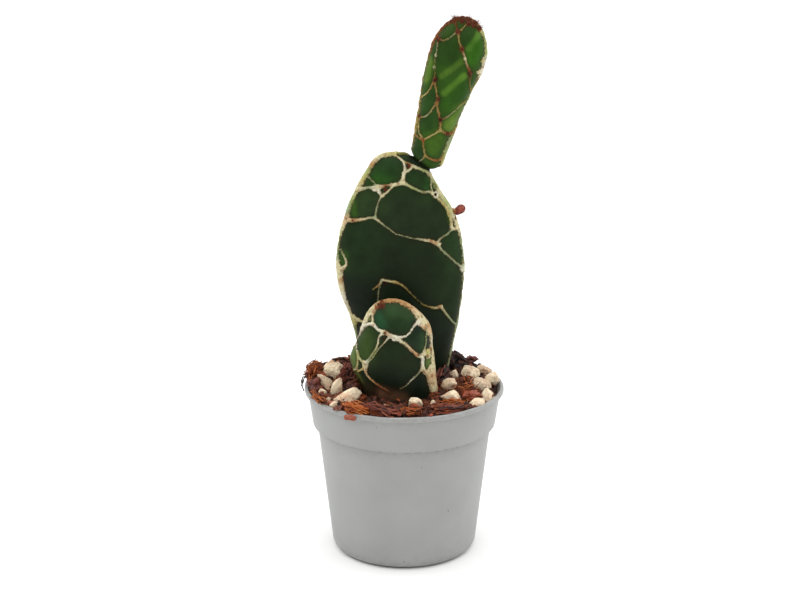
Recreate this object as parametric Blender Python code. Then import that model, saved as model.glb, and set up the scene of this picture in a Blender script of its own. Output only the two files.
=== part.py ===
"""A potted netted prickly pear: three flat stems with raised corky nets, a bud, gritty soil and a nursery pot.

Run it with: blender --background --python part.py

The origin is on the pot's axis at its foot, +Z is up, and the stems turn their front faces to -Y. Sizes are
named in millimetres, and MM turns them to Blender's metres.
"""

import math
import random
from dataclasses import dataclass, field

import bmesh
import bpy
import numpy as np
from mathutils import Matrix, Vector, noise
from mathutils.geometry import delaunay_2d_cdt

MM = 0.001
CLEARANCE = 0.3          # running gap between neighbouring solids

# Pot: a 5.5 cm tapered nursery pot, turned about Z
POT_HEIGHT = 46.8
RIM_RADIUS = 27.5
LIP_HEIGHT = 1.5
LIP_PROUD = 1.0
COLLAR_FOOT_Z = 36.2
COLLAR_FOOT_RADIUS = 25.2
BODY_TOP_RADIUS = 24.0
FOOT_RADIUS = 19.8
FOOT_ROUNDING = 2.9
WALL = 0.7
RIM_FLARE = 0.7          # how far the inner wall opens out in the lip
FOOT_RECESS = 0.8
FOOT_RING_WIDTH = 2.4
POT_SEGMENTS = 48
DRAIN_COUNT = 5
DRAIN_RADIUS = 2.2
DRAIN_CIRCLE = 10.5

# Soil: fills the pot to the rim, heaped at the left and sunk a little at the right
SOIL_LEVEL = 46.2
SOIL_DOME = 1.6
SOIL_SEGMENTS = 40
SOIL_RING_STEP = 2.4

# Net: corky ridges raised on the stems' skin
NET_HEIGHT = 0.55
SKIN_SWELL = 0.22        # how far the cells between the strands swell
SWELL_REACH = 1.6
STRAND_STEP = 1.4        # spacing of the points along a strand
CELL_STEP = 3.0          # spacing of the points inside a cell
BARE_BELOW_Z = 43.5      # the skin is smooth under the soil
NETTED_ABOVE_Z = 46.5


def smooth_value(stations, at):
    """Read a smooth curve through (position, value) stations."""
    places = np.array([s[0] for s in stations], float)
    values = np.array([s[1] for s in stations], float)
    at = np.clip(np.asarray(at, float), places[0], places[-1])
    slopes = np.diff(values) / np.diff(places)
    bends = np.concatenate(([slopes[0]], (slopes[:-1] + slopes[1:]) / 2, [slopes[-1]]))
    left = np.clip(np.searchsorted(places, at, side="right") - 1, 0, len(places) - 2)
    span = places[left + 1] - places[left]
    t = (at - places[left]) / span
    return (
        (2 * t**3 - 3 * t**2 + 1) * values[left]
        + (t**3 - 2 * t**2 + t) * span * bends[left]
        + (3 * t**2 - 2 * t**3) * values[left + 1]
        + (t**3 - t**2) * span * bends[left + 1]
    )


def smooth_step(low, high, value):
    """Rise smoothly from 0 at low to 1 at high."""
    t = np.clip((np.asarray(value, float) - low) / (high - low), 0, 1)
    return t * t * (3 - 2 * t)


@dataclass
class Stem:
    """A flat stem with an oval section, in its own across and along directions, both in millimetres."""

    name: str
    base: tuple              # where along is 0 on the centre line
    tilt: float              # degrees that the stem leans to +X
    start: float             # lowest place along the stem
    tip: float               # highest place along the stem
    foot: float              # length over which the stem closes at its start
    cap: float               # length over which it closes at its tip
    centre: list             # (along, sideways place of the section's middle)
    width: list              # (along, half width before the ends close)
    thick: list              # (along, half thickness before the ends close)
    strand_width: float      # half width of a strand at its foot
    margin_width: float      # half width of the corky margin
    knots: dict = field(default_factory=dict)
    front: list = field(default_factory=list)
    back: list = field(default_factory=list)

    def axes(self):
        """Unit vectors across, along and out of the front face."""
        lean = math.radians(self.tilt)
        across = np.array([math.cos(lean), 0.0, -math.sin(lean)])
        along = np.array([math.sin(lean), 0.0, math.cos(lean)])
        return across, along, np.array([0.0, -1.0, 0.0])

    def closing(self, along):
        """1 along most of the stem, and round to 0 at both ends."""
        upper = np.clip((along - self.tip + self.cap) / self.cap, 0, 1)
        lower = np.clip((self.start + self.foot - along) / self.foot, 0, 1)
        return np.sqrt(1 - upper**2) * np.sqrt(1 - lower**2)

    def section(self, along):
        """Middle, half width and half thickness of the section at a place along the stem."""
        along = np.asarray(along, float)
        closing = self.closing(along)
        return (
            smooth_value(self.centre, along),
            np.maximum(smooth_value(self.width, along) * closing, 1e-4),
            np.maximum(smooth_value(self.thick, along) * closing, 1e-4),
        )

    def point(self, turn, along, side):
        """Point on the skin, turned from the face's middle line by an angle of up to a quarter turn."""
        middle, half, depth = self.section(along)
        across, up, out = self.axes()
        return (
            np.array(self.base, float)
            + np.multiply.outer(middle + half * np.sin(turn), across)
            + np.multiply.outer(np.asarray(along, float), up)
            + np.multiply.outer(side * depth * np.cos(turn), out)
        )

    def girth(self, turn, along):
        """Length over the skin from the face's middle line to a turn."""
        _, half, depth = self.section(along)
        shares = np.linspace(0, 1, 17)
        turns = np.multiply.outer(turn, shares)
        ratio = np.expand_dims(depth / half, -1)
        rate = np.sqrt(np.cos(turns) ** 2 + (ratio * np.sin(turns)) ** 2)
        mean = (rate[..., 1:] + rate[..., :-1]).mean(axis=-1) / 2
        return half * turn * mean

    def turn_at(self, girth, along):
        """Turn that lies a given length over the skin from the middle line."""
        turns = np.linspace(-math.pi / 2, math.pi / 2, 65)
        return float(np.interp(girth, self.girth(turns, np.full(65, along)), turns))

    def to_chart(self, place):
        """Flatten an (across, along) place on the face to (girth, along)."""
        middle, half, _ = self.section(place[1])
        turn = math.asin(max(-1.0, min(1.0, (place[0] - float(middle)) / float(half))))
        return np.array([float(self.girth(np.array(turn), np.array(place[1]))), place[1]])


def resample(points, step, flat):
    """Points at even steps along a line, measured between the flat points that go with them."""
    lengths = np.concatenate(([0], np.cumsum(np.linalg.norm(np.diff(flat, axis=0), axis=1))))
    count = max(1, round(lengths[-1] / step))
    at = np.linspace(0, lengths[-1], count + 1)
    return np.stack([np.interp(at, lengths, points[:, k]) for k in range(points.shape[1])], axis=1)


def outline_chart(stem):
    """The stem's edge as a closed loop on the chart, which both faces share."""
    share = np.linspace(0, math.pi, 400)
    along = stem.start + (stem.tip - stem.start) * (1 - np.cos(share)) / 2
    sides = []
    for quarter in (math.pi / 2, -math.pi / 2):
        turn = np.full(along.shape, quarter)
        solid = stem.point(turn, along, 1)
        sides.append(resample(np.stack([turn, along], axis=1), STRAND_STEP, solid))
    loop = np.concatenate([sides[0], sides[1][-2:0:-1]])
    girths = stem.girth(loop[:, 0], loop[:, 1])
    girths[[0, len(sides[0]) - 1]] = 0.0
    return np.stack([girths, loop[:, 1]], axis=1)


def curve_through(points):
    """A fine smooth line through a strand's points."""
    points = np.array(points, float)
    ends = np.concatenate(([2 * points[0] - points[1]], points, [2 * points[-1] - points[-2]]))
    line = []
    for a, b, c, d in zip(ends, ends[1:], ends[2:], ends[3:]):
        for t in np.linspace(0, 1, 8, endpoint=False):
            line.append(0.5 * (2 * b + (c - a) * t + (2 * a - 5 * b + 4 * c - d) * t * t
                               + (3 * b - a - 3 * c + d) * t**3))
    line.append(points[-1])
    return np.array(line)


def distance_to(lines, points):
    """Distance from each point to the nearest of many short straight pieces."""
    if not lines:
        return np.full(len(points), 1e3)
    starts = np.concatenate([line[:-1] for line in lines])
    runs = np.concatenate([line[1:] for line in lines]) - starts
    away = points[:, None, :] - starts[None]
    share = np.clip((away * runs).sum(-1) / np.maximum((runs * runs).sum(-1), 1e-12), 0, 1)
    return np.linalg.norm(away - share[..., None] * runs[None], axis=-1).min(axis=1)


def strand_lines(stem, strands, loop):
    """The strands of one face on the chart, with ends near the edge carried onto it."""
    lines = []
    for strand in strands:
        places = [stem.knots[p] if isinstance(p, str) else p for p in strand]
        flat = np.array([stem.to_chart(p) for p in curve_through(places)])
        line = resample(flat, STRAND_STEP, flat)
        for end in (0, -1):
            reach = np.linalg.norm(loop - line[end], axis=1)
            if reach.min() < stem.margin_width + 0.5:
                line[end] = loop[reach.argmin()]
        lines.append(line)
    return lines


def face_points(stem, lines, loop):
    """Points that shape one face: strands, their feet on both sides, and the cells between them."""
    edge = [np.concatenate([loop, loop[:1]])]
    feet = []
    for line in lines:
        runs = np.gradient(line, axis=0)
        runs /= np.maximum(np.linalg.norm(runs, axis=1, keepdims=True), 1e-9)
        normal = np.stack([-runs[:, 1], runs[:, 0]], axis=1)
        feet += [line + normal * stem.strand_width, line - normal * stem.strand_width]
    inward = np.stack([-np.gradient(loop[:, 1]), np.gradient(loop[:, 0])], axis=1)
    inward /= np.linalg.norm(inward, axis=1, keepdims=True)
    feet.append(loop + inward * stem.margin_width)
    feet = np.concatenate(feet)
    clear = (distance_to(lines, feet) > 0.85 * stem.strand_width) & inside(stem, feet)
    feet = thin_out(feet[clear & (distance_to(edge, feet) > 0.85 * stem.margin_width)], 0.6)
    row = CELL_STEP * math.sqrt(3) / 2
    rows = int((stem.tip - stem.start) / row)
    reach = int(loop[:, 0].max() / CELL_STEP) + 1
    cells = np.array([
        ((column + 0.5 * (level % 2)) * CELL_STEP, stem.start + level * row)
        for level in range(1, rows + 1)
        for column in range(-reach, reach + 1)
    ])
    clear = (distance_to(lines, cells) > 1.9 * stem.strand_width) & inside(stem, cells)
    return feet, cells[clear & (distance_to(edge, cells) > 1.6 * stem.margin_width)]


def inside(stem, points):
    """Which chart points lie inside the stem's outline."""
    quarter = np.full(len(points), math.pi / 2)
    along = np.clip(points[:, 1], stem.start, stem.tip)
    within = (points[:, 1] > stem.start) & (points[:, 1] < stem.tip)
    return within & (np.abs(points[:, 0]) < stem.girth(quarter, along) - 0.2)


def thin_out(points, least):
    """Drop points that come closer than the least distance to one that is kept."""
    kept = []
    for point in points:
        if all(abs(point - other).sum() > least for other in kept):
            kept.append(point)
    return np.array(kept).reshape(-1, 2)


def ridge_height(stem, lines, loop, points):
    """Height of the net and of the swollen cells over the plain skin."""
    to_strand = distance_to(lines, points)
    to_edge = distance_to([np.concatenate([loop, loop[:1]])], points)
    strand = NET_HEIGHT * np.clip(1 - to_strand / stem.strand_width, 0, 1)
    margin = NET_HEIGHT * np.clip(1 - to_edge / stem.margin_width, 0, 1)
    swell = SKIN_SWELL * (1 - np.exp(-np.minimum(to_strand, to_edge) / SWELL_REACH))
    return np.maximum(np.maximum(strand, margin), swell)


def stem_mesh(stem, netted=True, inflate=0.0):
    """A closed bmesh of the stem, with its net raised or, for a cutter, evenly inflated."""
    loop = outline_chart(stem)
    mesh = bmesh.new()
    heights = []
    for side, strands in ((1, stem.front), (-1, stem.back)):
        lines = strand_lines(stem, strands, loop) if netted else []
        feet, cells = face_points(stem, lines, loop)
        chart = [Vector(p) for p in np.concatenate([loop, *lines, feet, cells])]
        creases = []
        first = len(loop)
        for line in lines:
            creases += [(k, k + 1) for k in range(first, first + len(line) - 1)]
            first += len(line)
        flat, _, faces, *_ = delaunay_2d_cdt(chart, creases, [list(range(len(loop)))], 1, 1e-4)
        flat = np.array([tuple(p) for p in flat])
        turns = np.array([stem.turn_at(g, a) for g, a in flat])
        solid = stem.point(turns, flat[:, 1], side)
        raised = ridge_height(stem, lines, loop, flat) if netted else np.zeros(len(flat))
        heights += list(raised * smooth_step(BARE_BELOW_Z, NETTED_ABOVE_Z, solid[:, 2]) + inflate)
        verts = [mesh.verts.new(p) for p in solid]
        for face in faces:
            corners = [verts[k] for k in face]
            mesh.faces.new(corners if side > 0 else corners[::-1])
    layer = mesh.verts.layers.float.new("raise")
    for vert, height in zip(mesh.verts, heights):
        vert[layer] = height
    bmesh.ops.remove_doubles(mesh, verts=mesh.verts[:], dist=0.01)
    bmesh.ops.recalc_face_normals(mesh, faces=mesh.faces[:])
    mesh.normal_update()
    moves = [(vert, vert.normal * vert[layer]) for vert in mesh.verts]
    for vert, move in moves:
        vert.co += move
    for face in mesh.faces:
        face.material_index = int(netted and max(vert[layer] for vert in face.verts) > 0.6 * NET_HEIGHT)
    return mesh


def material(name, colour, roughness):
    """A plain finish of one colour."""
    finish = bpy.data.materials.new(name)
    finish.use_nodes = True
    shader = finish.node_tree.nodes["Principled BSDF"]
    shader.inputs["Base Color"].default_value = (*colour, 1.0)
    shader.inputs["Roughness"].default_value = roughness
    shader.inputs["Metallic"].default_value = 0.0
    finish.diffuse_color = (*colour, 1.0)
    return finish


def add_object(name, mesh, finishes, sharp_angle=math.radians(35)):
    """Make an object from a bmesh in millimetres, shaded smooth up to an angle."""
    bmesh.ops.scale(mesh, vec=(MM, MM, MM), verts=mesh.verts[:])
    data = bpy.data.meshes.new(name)
    mesh.to_mesh(data)
    mesh.free()
    for finish in finishes:
        data.materials.append(finish)
    data.shade_smooth()
    data.set_sharp_from_angle(angle=sharp_angle)
    thing = bpy.data.objects.new(name, data)
    bpy.context.scene.collection.objects.link(thing)
    return thing


def apply_boolean(thing, operation, tools):
    """Join or cut an object with others at once, keep the result and remove the others."""
    group = bpy.data.collections.new("tools")
    bpy.context.scene.collection.children.link(group)
    for tool in tools:
        bpy.context.scene.collection.objects.unlink(tool)
        group.objects.link(tool)
    step = thing.modifiers.new(operation, "BOOLEAN")
    step.operation = operation
    step.solver = "EXACT"
    step.operand_type = "COLLECTION"
    step.collection = group
    result = bpy.data.meshes.new_from_object(thing.evaluated_get(bpy.context.evaluated_depsgraph_get()))
    thing.modifiers.remove(step)
    thing.data = result
    for tool in tools:
        bpy.data.objects.remove(tool)
    bpy.data.collections.remove(group)


def keep_largest_shell(thing):
    """Fill sealed hollows and drop loose scraps: only the biggest closed surface stays."""
    mesh = bmesh.new()
    mesh.from_mesh(thing.data)
    waiting = set(mesh.verts)
    shells = []
    while waiting:
        shell = [waiting.pop()]
        for vert in shell:
            near = {edge.other_vert(vert) for edge in vert.link_edges} & waiting
            waiting -= near
            shell += near
        shells.append(shell)
    shells.sort(key=len)
    bmesh.ops.delete(mesh, geom=[vert for shell in shells[:-1] for vert in shell], context="VERTS")
    mesh.to_mesh(thing.data)
    mesh.free()


def arc(centre, radius, start, end, count):
    """Points (radius, height) along an arc, angles in degrees."""
    angles = np.radians(np.linspace(start, end, count))
    return [(centre[0] + radius * math.cos(a), centre[1] + radius * math.sin(a)) for a in angles]


def turned(profile, segments):
    """Spin a closed (radius, height) profile about Z into a closed bmesh."""
    mesh = bmesh.new()
    verts = [mesh.verts.new((radius, 0.0, height)) for radius, height in profile]
    edges = [mesh.edges.new((a, b)) for a, b in zip(verts, verts[1:])]
    bmesh.ops.spin(mesh, geom=verts + edges, cent=(0, 0, 0), axis=(0, 0, 1), angle=math.tau, steps=segments,
                   use_merge=True)
    bmesh.ops.remove_doubles(mesh, verts=mesh.verts[:], dist=0.001)
    bmesh.ops.recalc_face_normals(mesh, faces=mesh.faces[:])
    return mesh


def body_radius(z):
    """Outer radius of the pot's tapered body."""
    return FOOT_RADIUS + (BODY_TOP_RADIUS - FOOT_RADIUS) * z / COLLAR_FOOT_Z


def collar_radius(z):
    """Outer radius of the collar, whose wall runs up to the lip."""
    top = RIM_RADIUS - LIP_PROUD
    return COLLAR_FOOT_RADIUS + (top - COLLAR_FOOT_RADIUS) * (z - COLLAR_FOOT_Z) / (lip_foot() - COLLAR_FOOT_Z)


def lip_foot():
    """Height of the lip's lower edge."""
    return POT_HEIGHT - LIP_HEIGHT


def inner_profile(gap):
    """The pot's inside from the floor's middle up to the rim, moved inwards by a gap."""
    floor = FOOT_RECESS + WALL + gap
    step = COLLAR_FOOT_Z + 0.4
    corner = FOOT_ROUNDING - WALL
    low = floor + corner
    return [
        (0.0, floor),
        (body_radius(floor) - WALL - gap - corner, floor),
        (body_radius(low) - WALL - gap, low),
        (body_radius(step) - WALL - gap, step),
        (collar_radius(step + 1.2) - WALL - gap, step + 1.2),
        (RIM_RADIUS - LIP_PROUD - WALL - gap, lip_foot()),
        (inner_rim(gap), POT_HEIGHT - 0.3),
    ]


def inner_rim(gap):
    """Inner radius at the rim, where the wall flares into the lip."""
    return RIM_RADIUS - LIP_PROUD - WALL + RIM_FLARE - gap


def lip_inside(z, gap):
    """Inner radius of the flare at a height."""
    return float(np.interp(z, [lip_foot(), POT_HEIGHT - 0.3], [inner_rim(gap) - RIM_FLARE, inner_rim(gap)]))


def build_pot():
    """The nursery pot: one turned wall with a lip, a collar, a rounded foot and drain holes."""
    ring_inner = body_radius(0) - FOOT_ROUNDING - FOOT_RING_WIDTH
    outside = [(0.0, FOOT_RECESS), (ring_inner - 0.6, FOOT_RECESS), (ring_inner, 0.0)]
    outside += arc((body_radius(FOOT_ROUNDING) - FOOT_ROUNDING, FOOT_ROUNDING), FOOT_ROUNDING, -90, 0, 5)
    outside += [
        (body_radius(COLLAR_FOOT_Z - 0.5), COLLAR_FOOT_Z - 0.5),
        (COLLAR_FOOT_RADIUS - 0.35, COLLAR_FOOT_Z),
        (collar_radius(COLLAR_FOOT_Z + 0.35), COLLAR_FOOT_Z + 0.35),
        (RIM_RADIUS - LIP_PROUD, lip_foot()),
        (RIM_RADIUS - 0.25, lip_foot() + 0.1),
        (RIM_RADIUS, lip_foot() + 0.45),
        (RIM_RADIUS, POT_HEIGHT - 0.4),
        (RIM_RADIUS - 0.35, POT_HEIGHT),
        (inner_rim(0.0) + 0.3, POT_HEIGHT),
    ]
    inside_wall = inner_profile(0.0)[::-1]
    plastic = material("grey moulded plastic", (0.38, 0.39, 0.385), 0.5)
    pot = add_object("pot", turned(outside + inside_wall, POT_SEGMENTS), [plastic])
    drains = []
    for k in range(DRAIN_COUNT):
        angle = math.tau * (k + 0.5) / DRAIN_COUNT
        drill = bmesh.new()
        place = Matrix.Translation((DRAIN_CIRCLE * math.cos(angle), DRAIN_CIRCLE * math.sin(angle), 1.0))
        bmesh.ops.create_cone(drill, cap_ends=True, segments=16, radius1=DRAIN_RADIUS, radius2=DRAIN_RADIUS,
                              depth=6.0, matrix=place)
        drains.append(add_object("drain drill", drill, []))
    apply_boolean(pot, "DIFFERENCE", drains)


def soil_surface(x, y):
    """Height of the soil's top, with its heap at the left, its dip at the right and coarse lumps."""
    radius = math.hypot(x, y)
    heap = 4.2 * math.exp(-((x + 24) ** 2 + (y - 3) ** 2) / 26)
    dip = 1.6 * math.exp(-((x - 25) ** 2 + (y + 4) ** 2) / 30)
    back = 1.0 * float(smooth_step(2, 16, y))
    lumps = 0.9 * noise.noise(Vector((x / 5, y / 5, 3.1))) + 0.55 * noise.noise(Vector((x / 2.3, y / 2.3, 7.7)))
    return SOIL_LEVEL + SOIL_DOME * (1 - (radius / 26) ** 2) + heap - dip + back + lumps


# Pumice stones at the places that show: (x, y, height over the soil, length, breadth, thickness, turn in degrees)
STONES = [
    (-19.8, 1.5, 1.2, 6.8, 5.6, 6.0, 10),
    (-16.4, -7.0, 1.0, 2.8, 3.6, 5.6, 20),
    (-20.2, -5.8, 0.8, 3.0, 3.0, 3.2, 0),
    (-13.2, -14.0, 0.6, 7.6, 4.0, 4.0, 28),
    (-21.4, -10.5, 0.4, 2.6, 2.4, 2.2, 0),
    (19.8, 5.6, 1.2, 6.0, 5.0, 5.0, -15),
    (14.6, 3.6, 0.8, 3.2, 3.0, 3.0, 0),
    (13.0, -6.4, 0.8, 5.0, 4.4, 4.0, 30),
    (13.6, -15.2, 0.5, 6.2, 3.6, 3.2, -12),
    (21.2, -8.4, 0.8, 4.0, 4.2, 4.6, 70),
    (17.2, -16.0, 0.6, 4.2, 2.8, 2.8, 40),
    (22.6, 0.4, 0.5, 4.6, 3.6, 3.0, 15),
    (2.6, -17.8, 0.7, 3.6, 3.4, 3.2, 0),
    (-5.0, -19.0, 0.3, 2.2, 2.0, 2.0, 0),
    (7.6, -20.6, 0.3, 2.4, 2.2, 2.0, 0),
]
HIDDEN_STONES = 9        # more of them behind the stems, out of the photograph's sight
COIR_CHIPS = 34


def stone_mesh(x, y, rise, length, breadth, thickness, turn, seed):
    """A rough faceted stone, more than half sunk in the soil."""
    mesh = bmesh.new()
    bmesh.ops.create_icosphere(mesh, subdivisions=2, radius=0.5)
    for vert in mesh.verts:
        vert.co *= 1 + 0.35 * noise.noise(vert.co * 2.4 + Vector((seed * 3.7, 0, 0)))
    place = Matrix.Translation((x, y, soil_surface(x, y) + rise - 0.2))
    place @= Matrix.Rotation(math.radians(turn), 4, "Z") @ Matrix.Rotation(math.radians(seed * 37 % 30), 4, "X")
    place @= Matrix.Diagonal((length, breadth, thickness, 1))
    bmesh.ops.transform(mesh, matrix=place, verts=mesh.verts[:])
    return mesh


def chip_mesh(x, y, rng):
    """A tapered chip of coir husk, lying half sunk with one end up."""
    length = rng.uniform(3.0, 5.5)
    mesh = bmesh.new()
    bmesh.ops.create_cone(mesh, cap_ends=True, segments=5, radius1=0.75, radius2=0.35, depth=length)
    lie = Matrix.Rotation(rng.uniform(0, math.tau), 4, "Z") @ Matrix.Rotation(rng.uniform(1.2, 1.5), 4, "Y")
    place = Matrix.Translation((x, y, soil_surface(x, y) + 0.25)) @ lie @ Matrix.Diagonal((0.8, 1.3, 1, 1))
    bmesh.ops.transform(mesh, matrix=place, verts=mesh.verts[:])
    return mesh


def build_soil(stems):
    """The soil with its chips and stones fused in, and a plain hole for each rooted stem."""
    rim = inner_rim(CLEARANCE)
    radii = np.linspace(rim, 0, round(rim / SOIL_RING_STEP) + 1)
    profile = inner_profile(CLEARANCE)[:-1] + [(radius, POT_HEIGHT) for radius in radii]
    mesh = turned(profile, SOIL_SEGMENTS)
    for vert in mesh.verts:
        if vert.co.z > POT_HEIGHT - 0.01:
            vert.co.z = soil_surface(vert.co.x, vert.co.y)
            radius = vert.co.xy.length
            if radius > rim - 0.01:
                vert.co.z = max(vert.co.z, lip_foot() + 0.2)
                vert.co.xy *= lip_inside(vert.co.z, CLEARANCE) / radius
    coir = material("moist coir", (0.10, 0.04, 0.02), 0.95)
    pumice = material("pumice", (0.62, 0.50, 0.36), 0.9)
    soil = add_object("soil", mesh, [coir, pumice], math.radians(20))

    rng = random.Random(31)
    stones = list(STONES)
    while len(stones) < len(STONES) + HIDDEN_STONES:
        angle, radius, size = rng.uniform(0.3, 2.8), rng.uniform(12, 21), rng.uniform(2.6, 5.0)
        x, y = radius * math.cos(angle), radius * math.sin(angle)
        if all(math.hypot(x - other[0], y - other[1]) > 4.5 for other in stones):
            stones.append((x, y, 0.5, size * 1.2, size, size * 0.9, rng.uniform(0, 90)))
    grains = []
    for seed, stone in enumerate(stones):
        grain = add_object("stone", stone_mesh(*stone, seed), [coir, pumice], math.radians(20))
        for face in grain.data.polygons:
            face.material_index = 1
        grains.append(grain)
    chips = 0
    while chips < COIR_CHIPS:
        angle, radius = rng.uniform(0, math.tau), 22.5 * math.sqrt(rng.random())
        x, y = radius * math.cos(angle), radius * math.sin(angle)
        if abs(x) > 14 or abs(y) > 13:
            grains.append(add_object("chip", chip_mesh(x, y, rng), [coir], math.radians(20)))
            chips += 1
    apply_boolean(soil, "UNION", grains)
    keep_largest_shell(soil)
    holes = [
        add_object(f"{stem.name} hole", stem_mesh(stem, netted=False, inflate=NET_HEIGHT + CLEARANCE), [coir])
        for stem in stems
    ]
    apply_boolean(soil, "DIFFERENCE", holes)
    keep_largest_shell(soil)


# The large stem, rooted behind the pot's middle
MAIN = Stem(
    name="main_pad", base=(0.0, 6.0, 36.0), tilt=0.0, start=0.0, tip=74.4, foot=6.0, cap=11.0,
    centre=[(0, 0.5), (22, 0.4), (29, 0.2), (36, -0.7), (49, -1.1), (57, -1.1), (65, -1.8), (70, -1.8), (74.4, -3.4)],
    width=[(0, 8.0), (8, 10.2), (22, 13.1), (29, 14.7), (36, 16.5), (42.5, 17.1), (49, 16.7), (56, 15.0),
           (60, 13.4), (65, 10.8), (69, 9.8), (74.4, 9.4)],
    thick=[(0, 3.6), (14, 4.7), (30, 4.6), (50, 4.0), (65, 3.4), (74.4, 3.0)],
    strand_width=0.75, margin_width=1.0,
    knots={
        "crown": (-0.5, 67.2), "eye": (0.0, 69.6), "brow": (2.9, 71.1), "shoulder": (6.3, 69.4),
        "web": (-2.6, 66.5), "left": (-7.2, 65.8), "under": (-5.9, 63.5), "ring": (7.8, 63.6),
        "fork": (-7.9, 57.3), "bend": (12.9, 54.0), "hub": (8.7, 50.3), "knee": (-5.8, 40.3),
        "heel": (10.0, 32.4), "low": (-9.5, 28.4), "mid": (-1.0, 25.0),
        "b1": (1.5, 64.0), "b2": (-6.0, 59.0), "b3": (7.5, 57.0), "b4": (-0.5, 49.5), "b5": (9.0, 45.0),
        "b6": (-9.0, 44.0), "b7": (1.0, 37.0), "b8": (8.0, 27.0), "b9": (-6.0, 28.0),
    },
    front=[
        ("crown", "eye"),
        ("eye", (0.1, 71.0), (-0.4, 72.6), (-2.4, 74.2)),
        ("eye", (1.5, 70.6), "brow", (4.5, 70.3), "shoulder"),
        ((-0.4, 72.6), (1.3, 72.1), "brow"),
        ("shoulder", (7.6, 69.2)),
        ("shoulder", (7.2, 67.6), (7.2, 65.6), "ring"),
        ("ring", (6.6, 64.3), (4.6, 64.6), (1.9, 65.8), "crown"),
        ("ring", (9.4, 62.0), (11.3, 59.7), (12.4, 57.2), "bend"),
        ("bend", (15.0, 53.6)),
        ("bend", (11.8, 52.8), (10.2, 51.8), "hub"),
        ("hub", (10.5, 48.1), (12.9, 45.6), (14.6, 44.0), (16.2, 42.2)),
        ("hub", (6.8, 51.1), (3.2, 51.7), (-1.0, 52.7), (-3.2, 53.8), (-5.8, 55.8), "fork"),
        ("fork", (-9.5, 57.3), (-11.6, 56.8), (-13.7, 56.4), (-15.8, 56.4)),
        ("fork", (-7.5, 59.6), (-6.9, 61.8), "under"),
        ("crown", "web"),
        ("web", (-4.8, 66.4), "left"),
        ("web", (-4.2, 64.9), "under"),
        ("left", (-6.8, 64.6), "under"),
        ("left", (-9.4, 65.6), (-11.9, 64.8)),
        ("left", (-8.4, 67.3), (-9.7, 68.4)),
        ((-17.2, 48.0), (-16.1, 45.6), (-15.8, 44.0), (-17.4, 42.2)),
        ("knee", (-3.7, 39.8), (-0.6, 38.8), (2.4, 35.9), (5.4, 33.1), (8.2, 32.2), "heel"),
        ("heel", (10.9, 31.1), (12.1, 29.3), (14.4, 26.4)),
        ("knee", (-7.0, 38.6), (-8.4, 37.6)),
        ("knee", (-6.7, 38.0), (-7.1, 34.8), (-8.0, 31.0), "low"),
        ("low", (-11.8, 28.0), (-14.6, 29.6)),
        ("low", (-5.0, 26.4), "mid", (3.5, 23.0), (6.0, 18.0), (7.0, 12.5)),
        ("mid", (-2.5, 20.0), (-3.5, 14.0)),
    ],
    back=[
        ((-3.5, 74.3), (-1.0, 69.5), "b1"),
        ("b1", (-3.0, 62.5), "b2"),
        ("b1", (5.0, 61.5), "b3"),
        ("b2", (-9.5, 61.0), (-13.8, 60.5)),
        ("b3", (10.5, 59.0), (13.8, 58.5)),
        ("b2", (-4.5, 54.0), "b4"),
        ("b3", (4.0, 52.5), "b4"),
        ("b3", (9.5, 51.0), "b5"),
        ("b5", (12.5, 46.0), (16.4, 47.5)),
        ("b4", (-5.5, 46.0), "b6"),
        ("b6", (-12.5, 46.5), (-17.8, 48.0)),
        ("b4", (1.5, 43.0), "b7"),
        ("b5", (6.0, 40.0), "b7"),
        ("b6", (-8.5, 37.0), (-7.5, 32.0), "b9"),
        ("b7", (-3.0, 32.5), "b9"),
        ("b7", (5.5, 32.5), "b8"),
        ("b8", (11.5, 28.0), (14.6, 30.0)),
        ("b9", (-10.0, 25.5), (-13.4, 22.0)),
        ("b8", (4.0, 21.0), (2.0, 14.0)),
        ("b9", (-5.0, 20.0), (-6.5, 14.0)),
    ],
)

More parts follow.
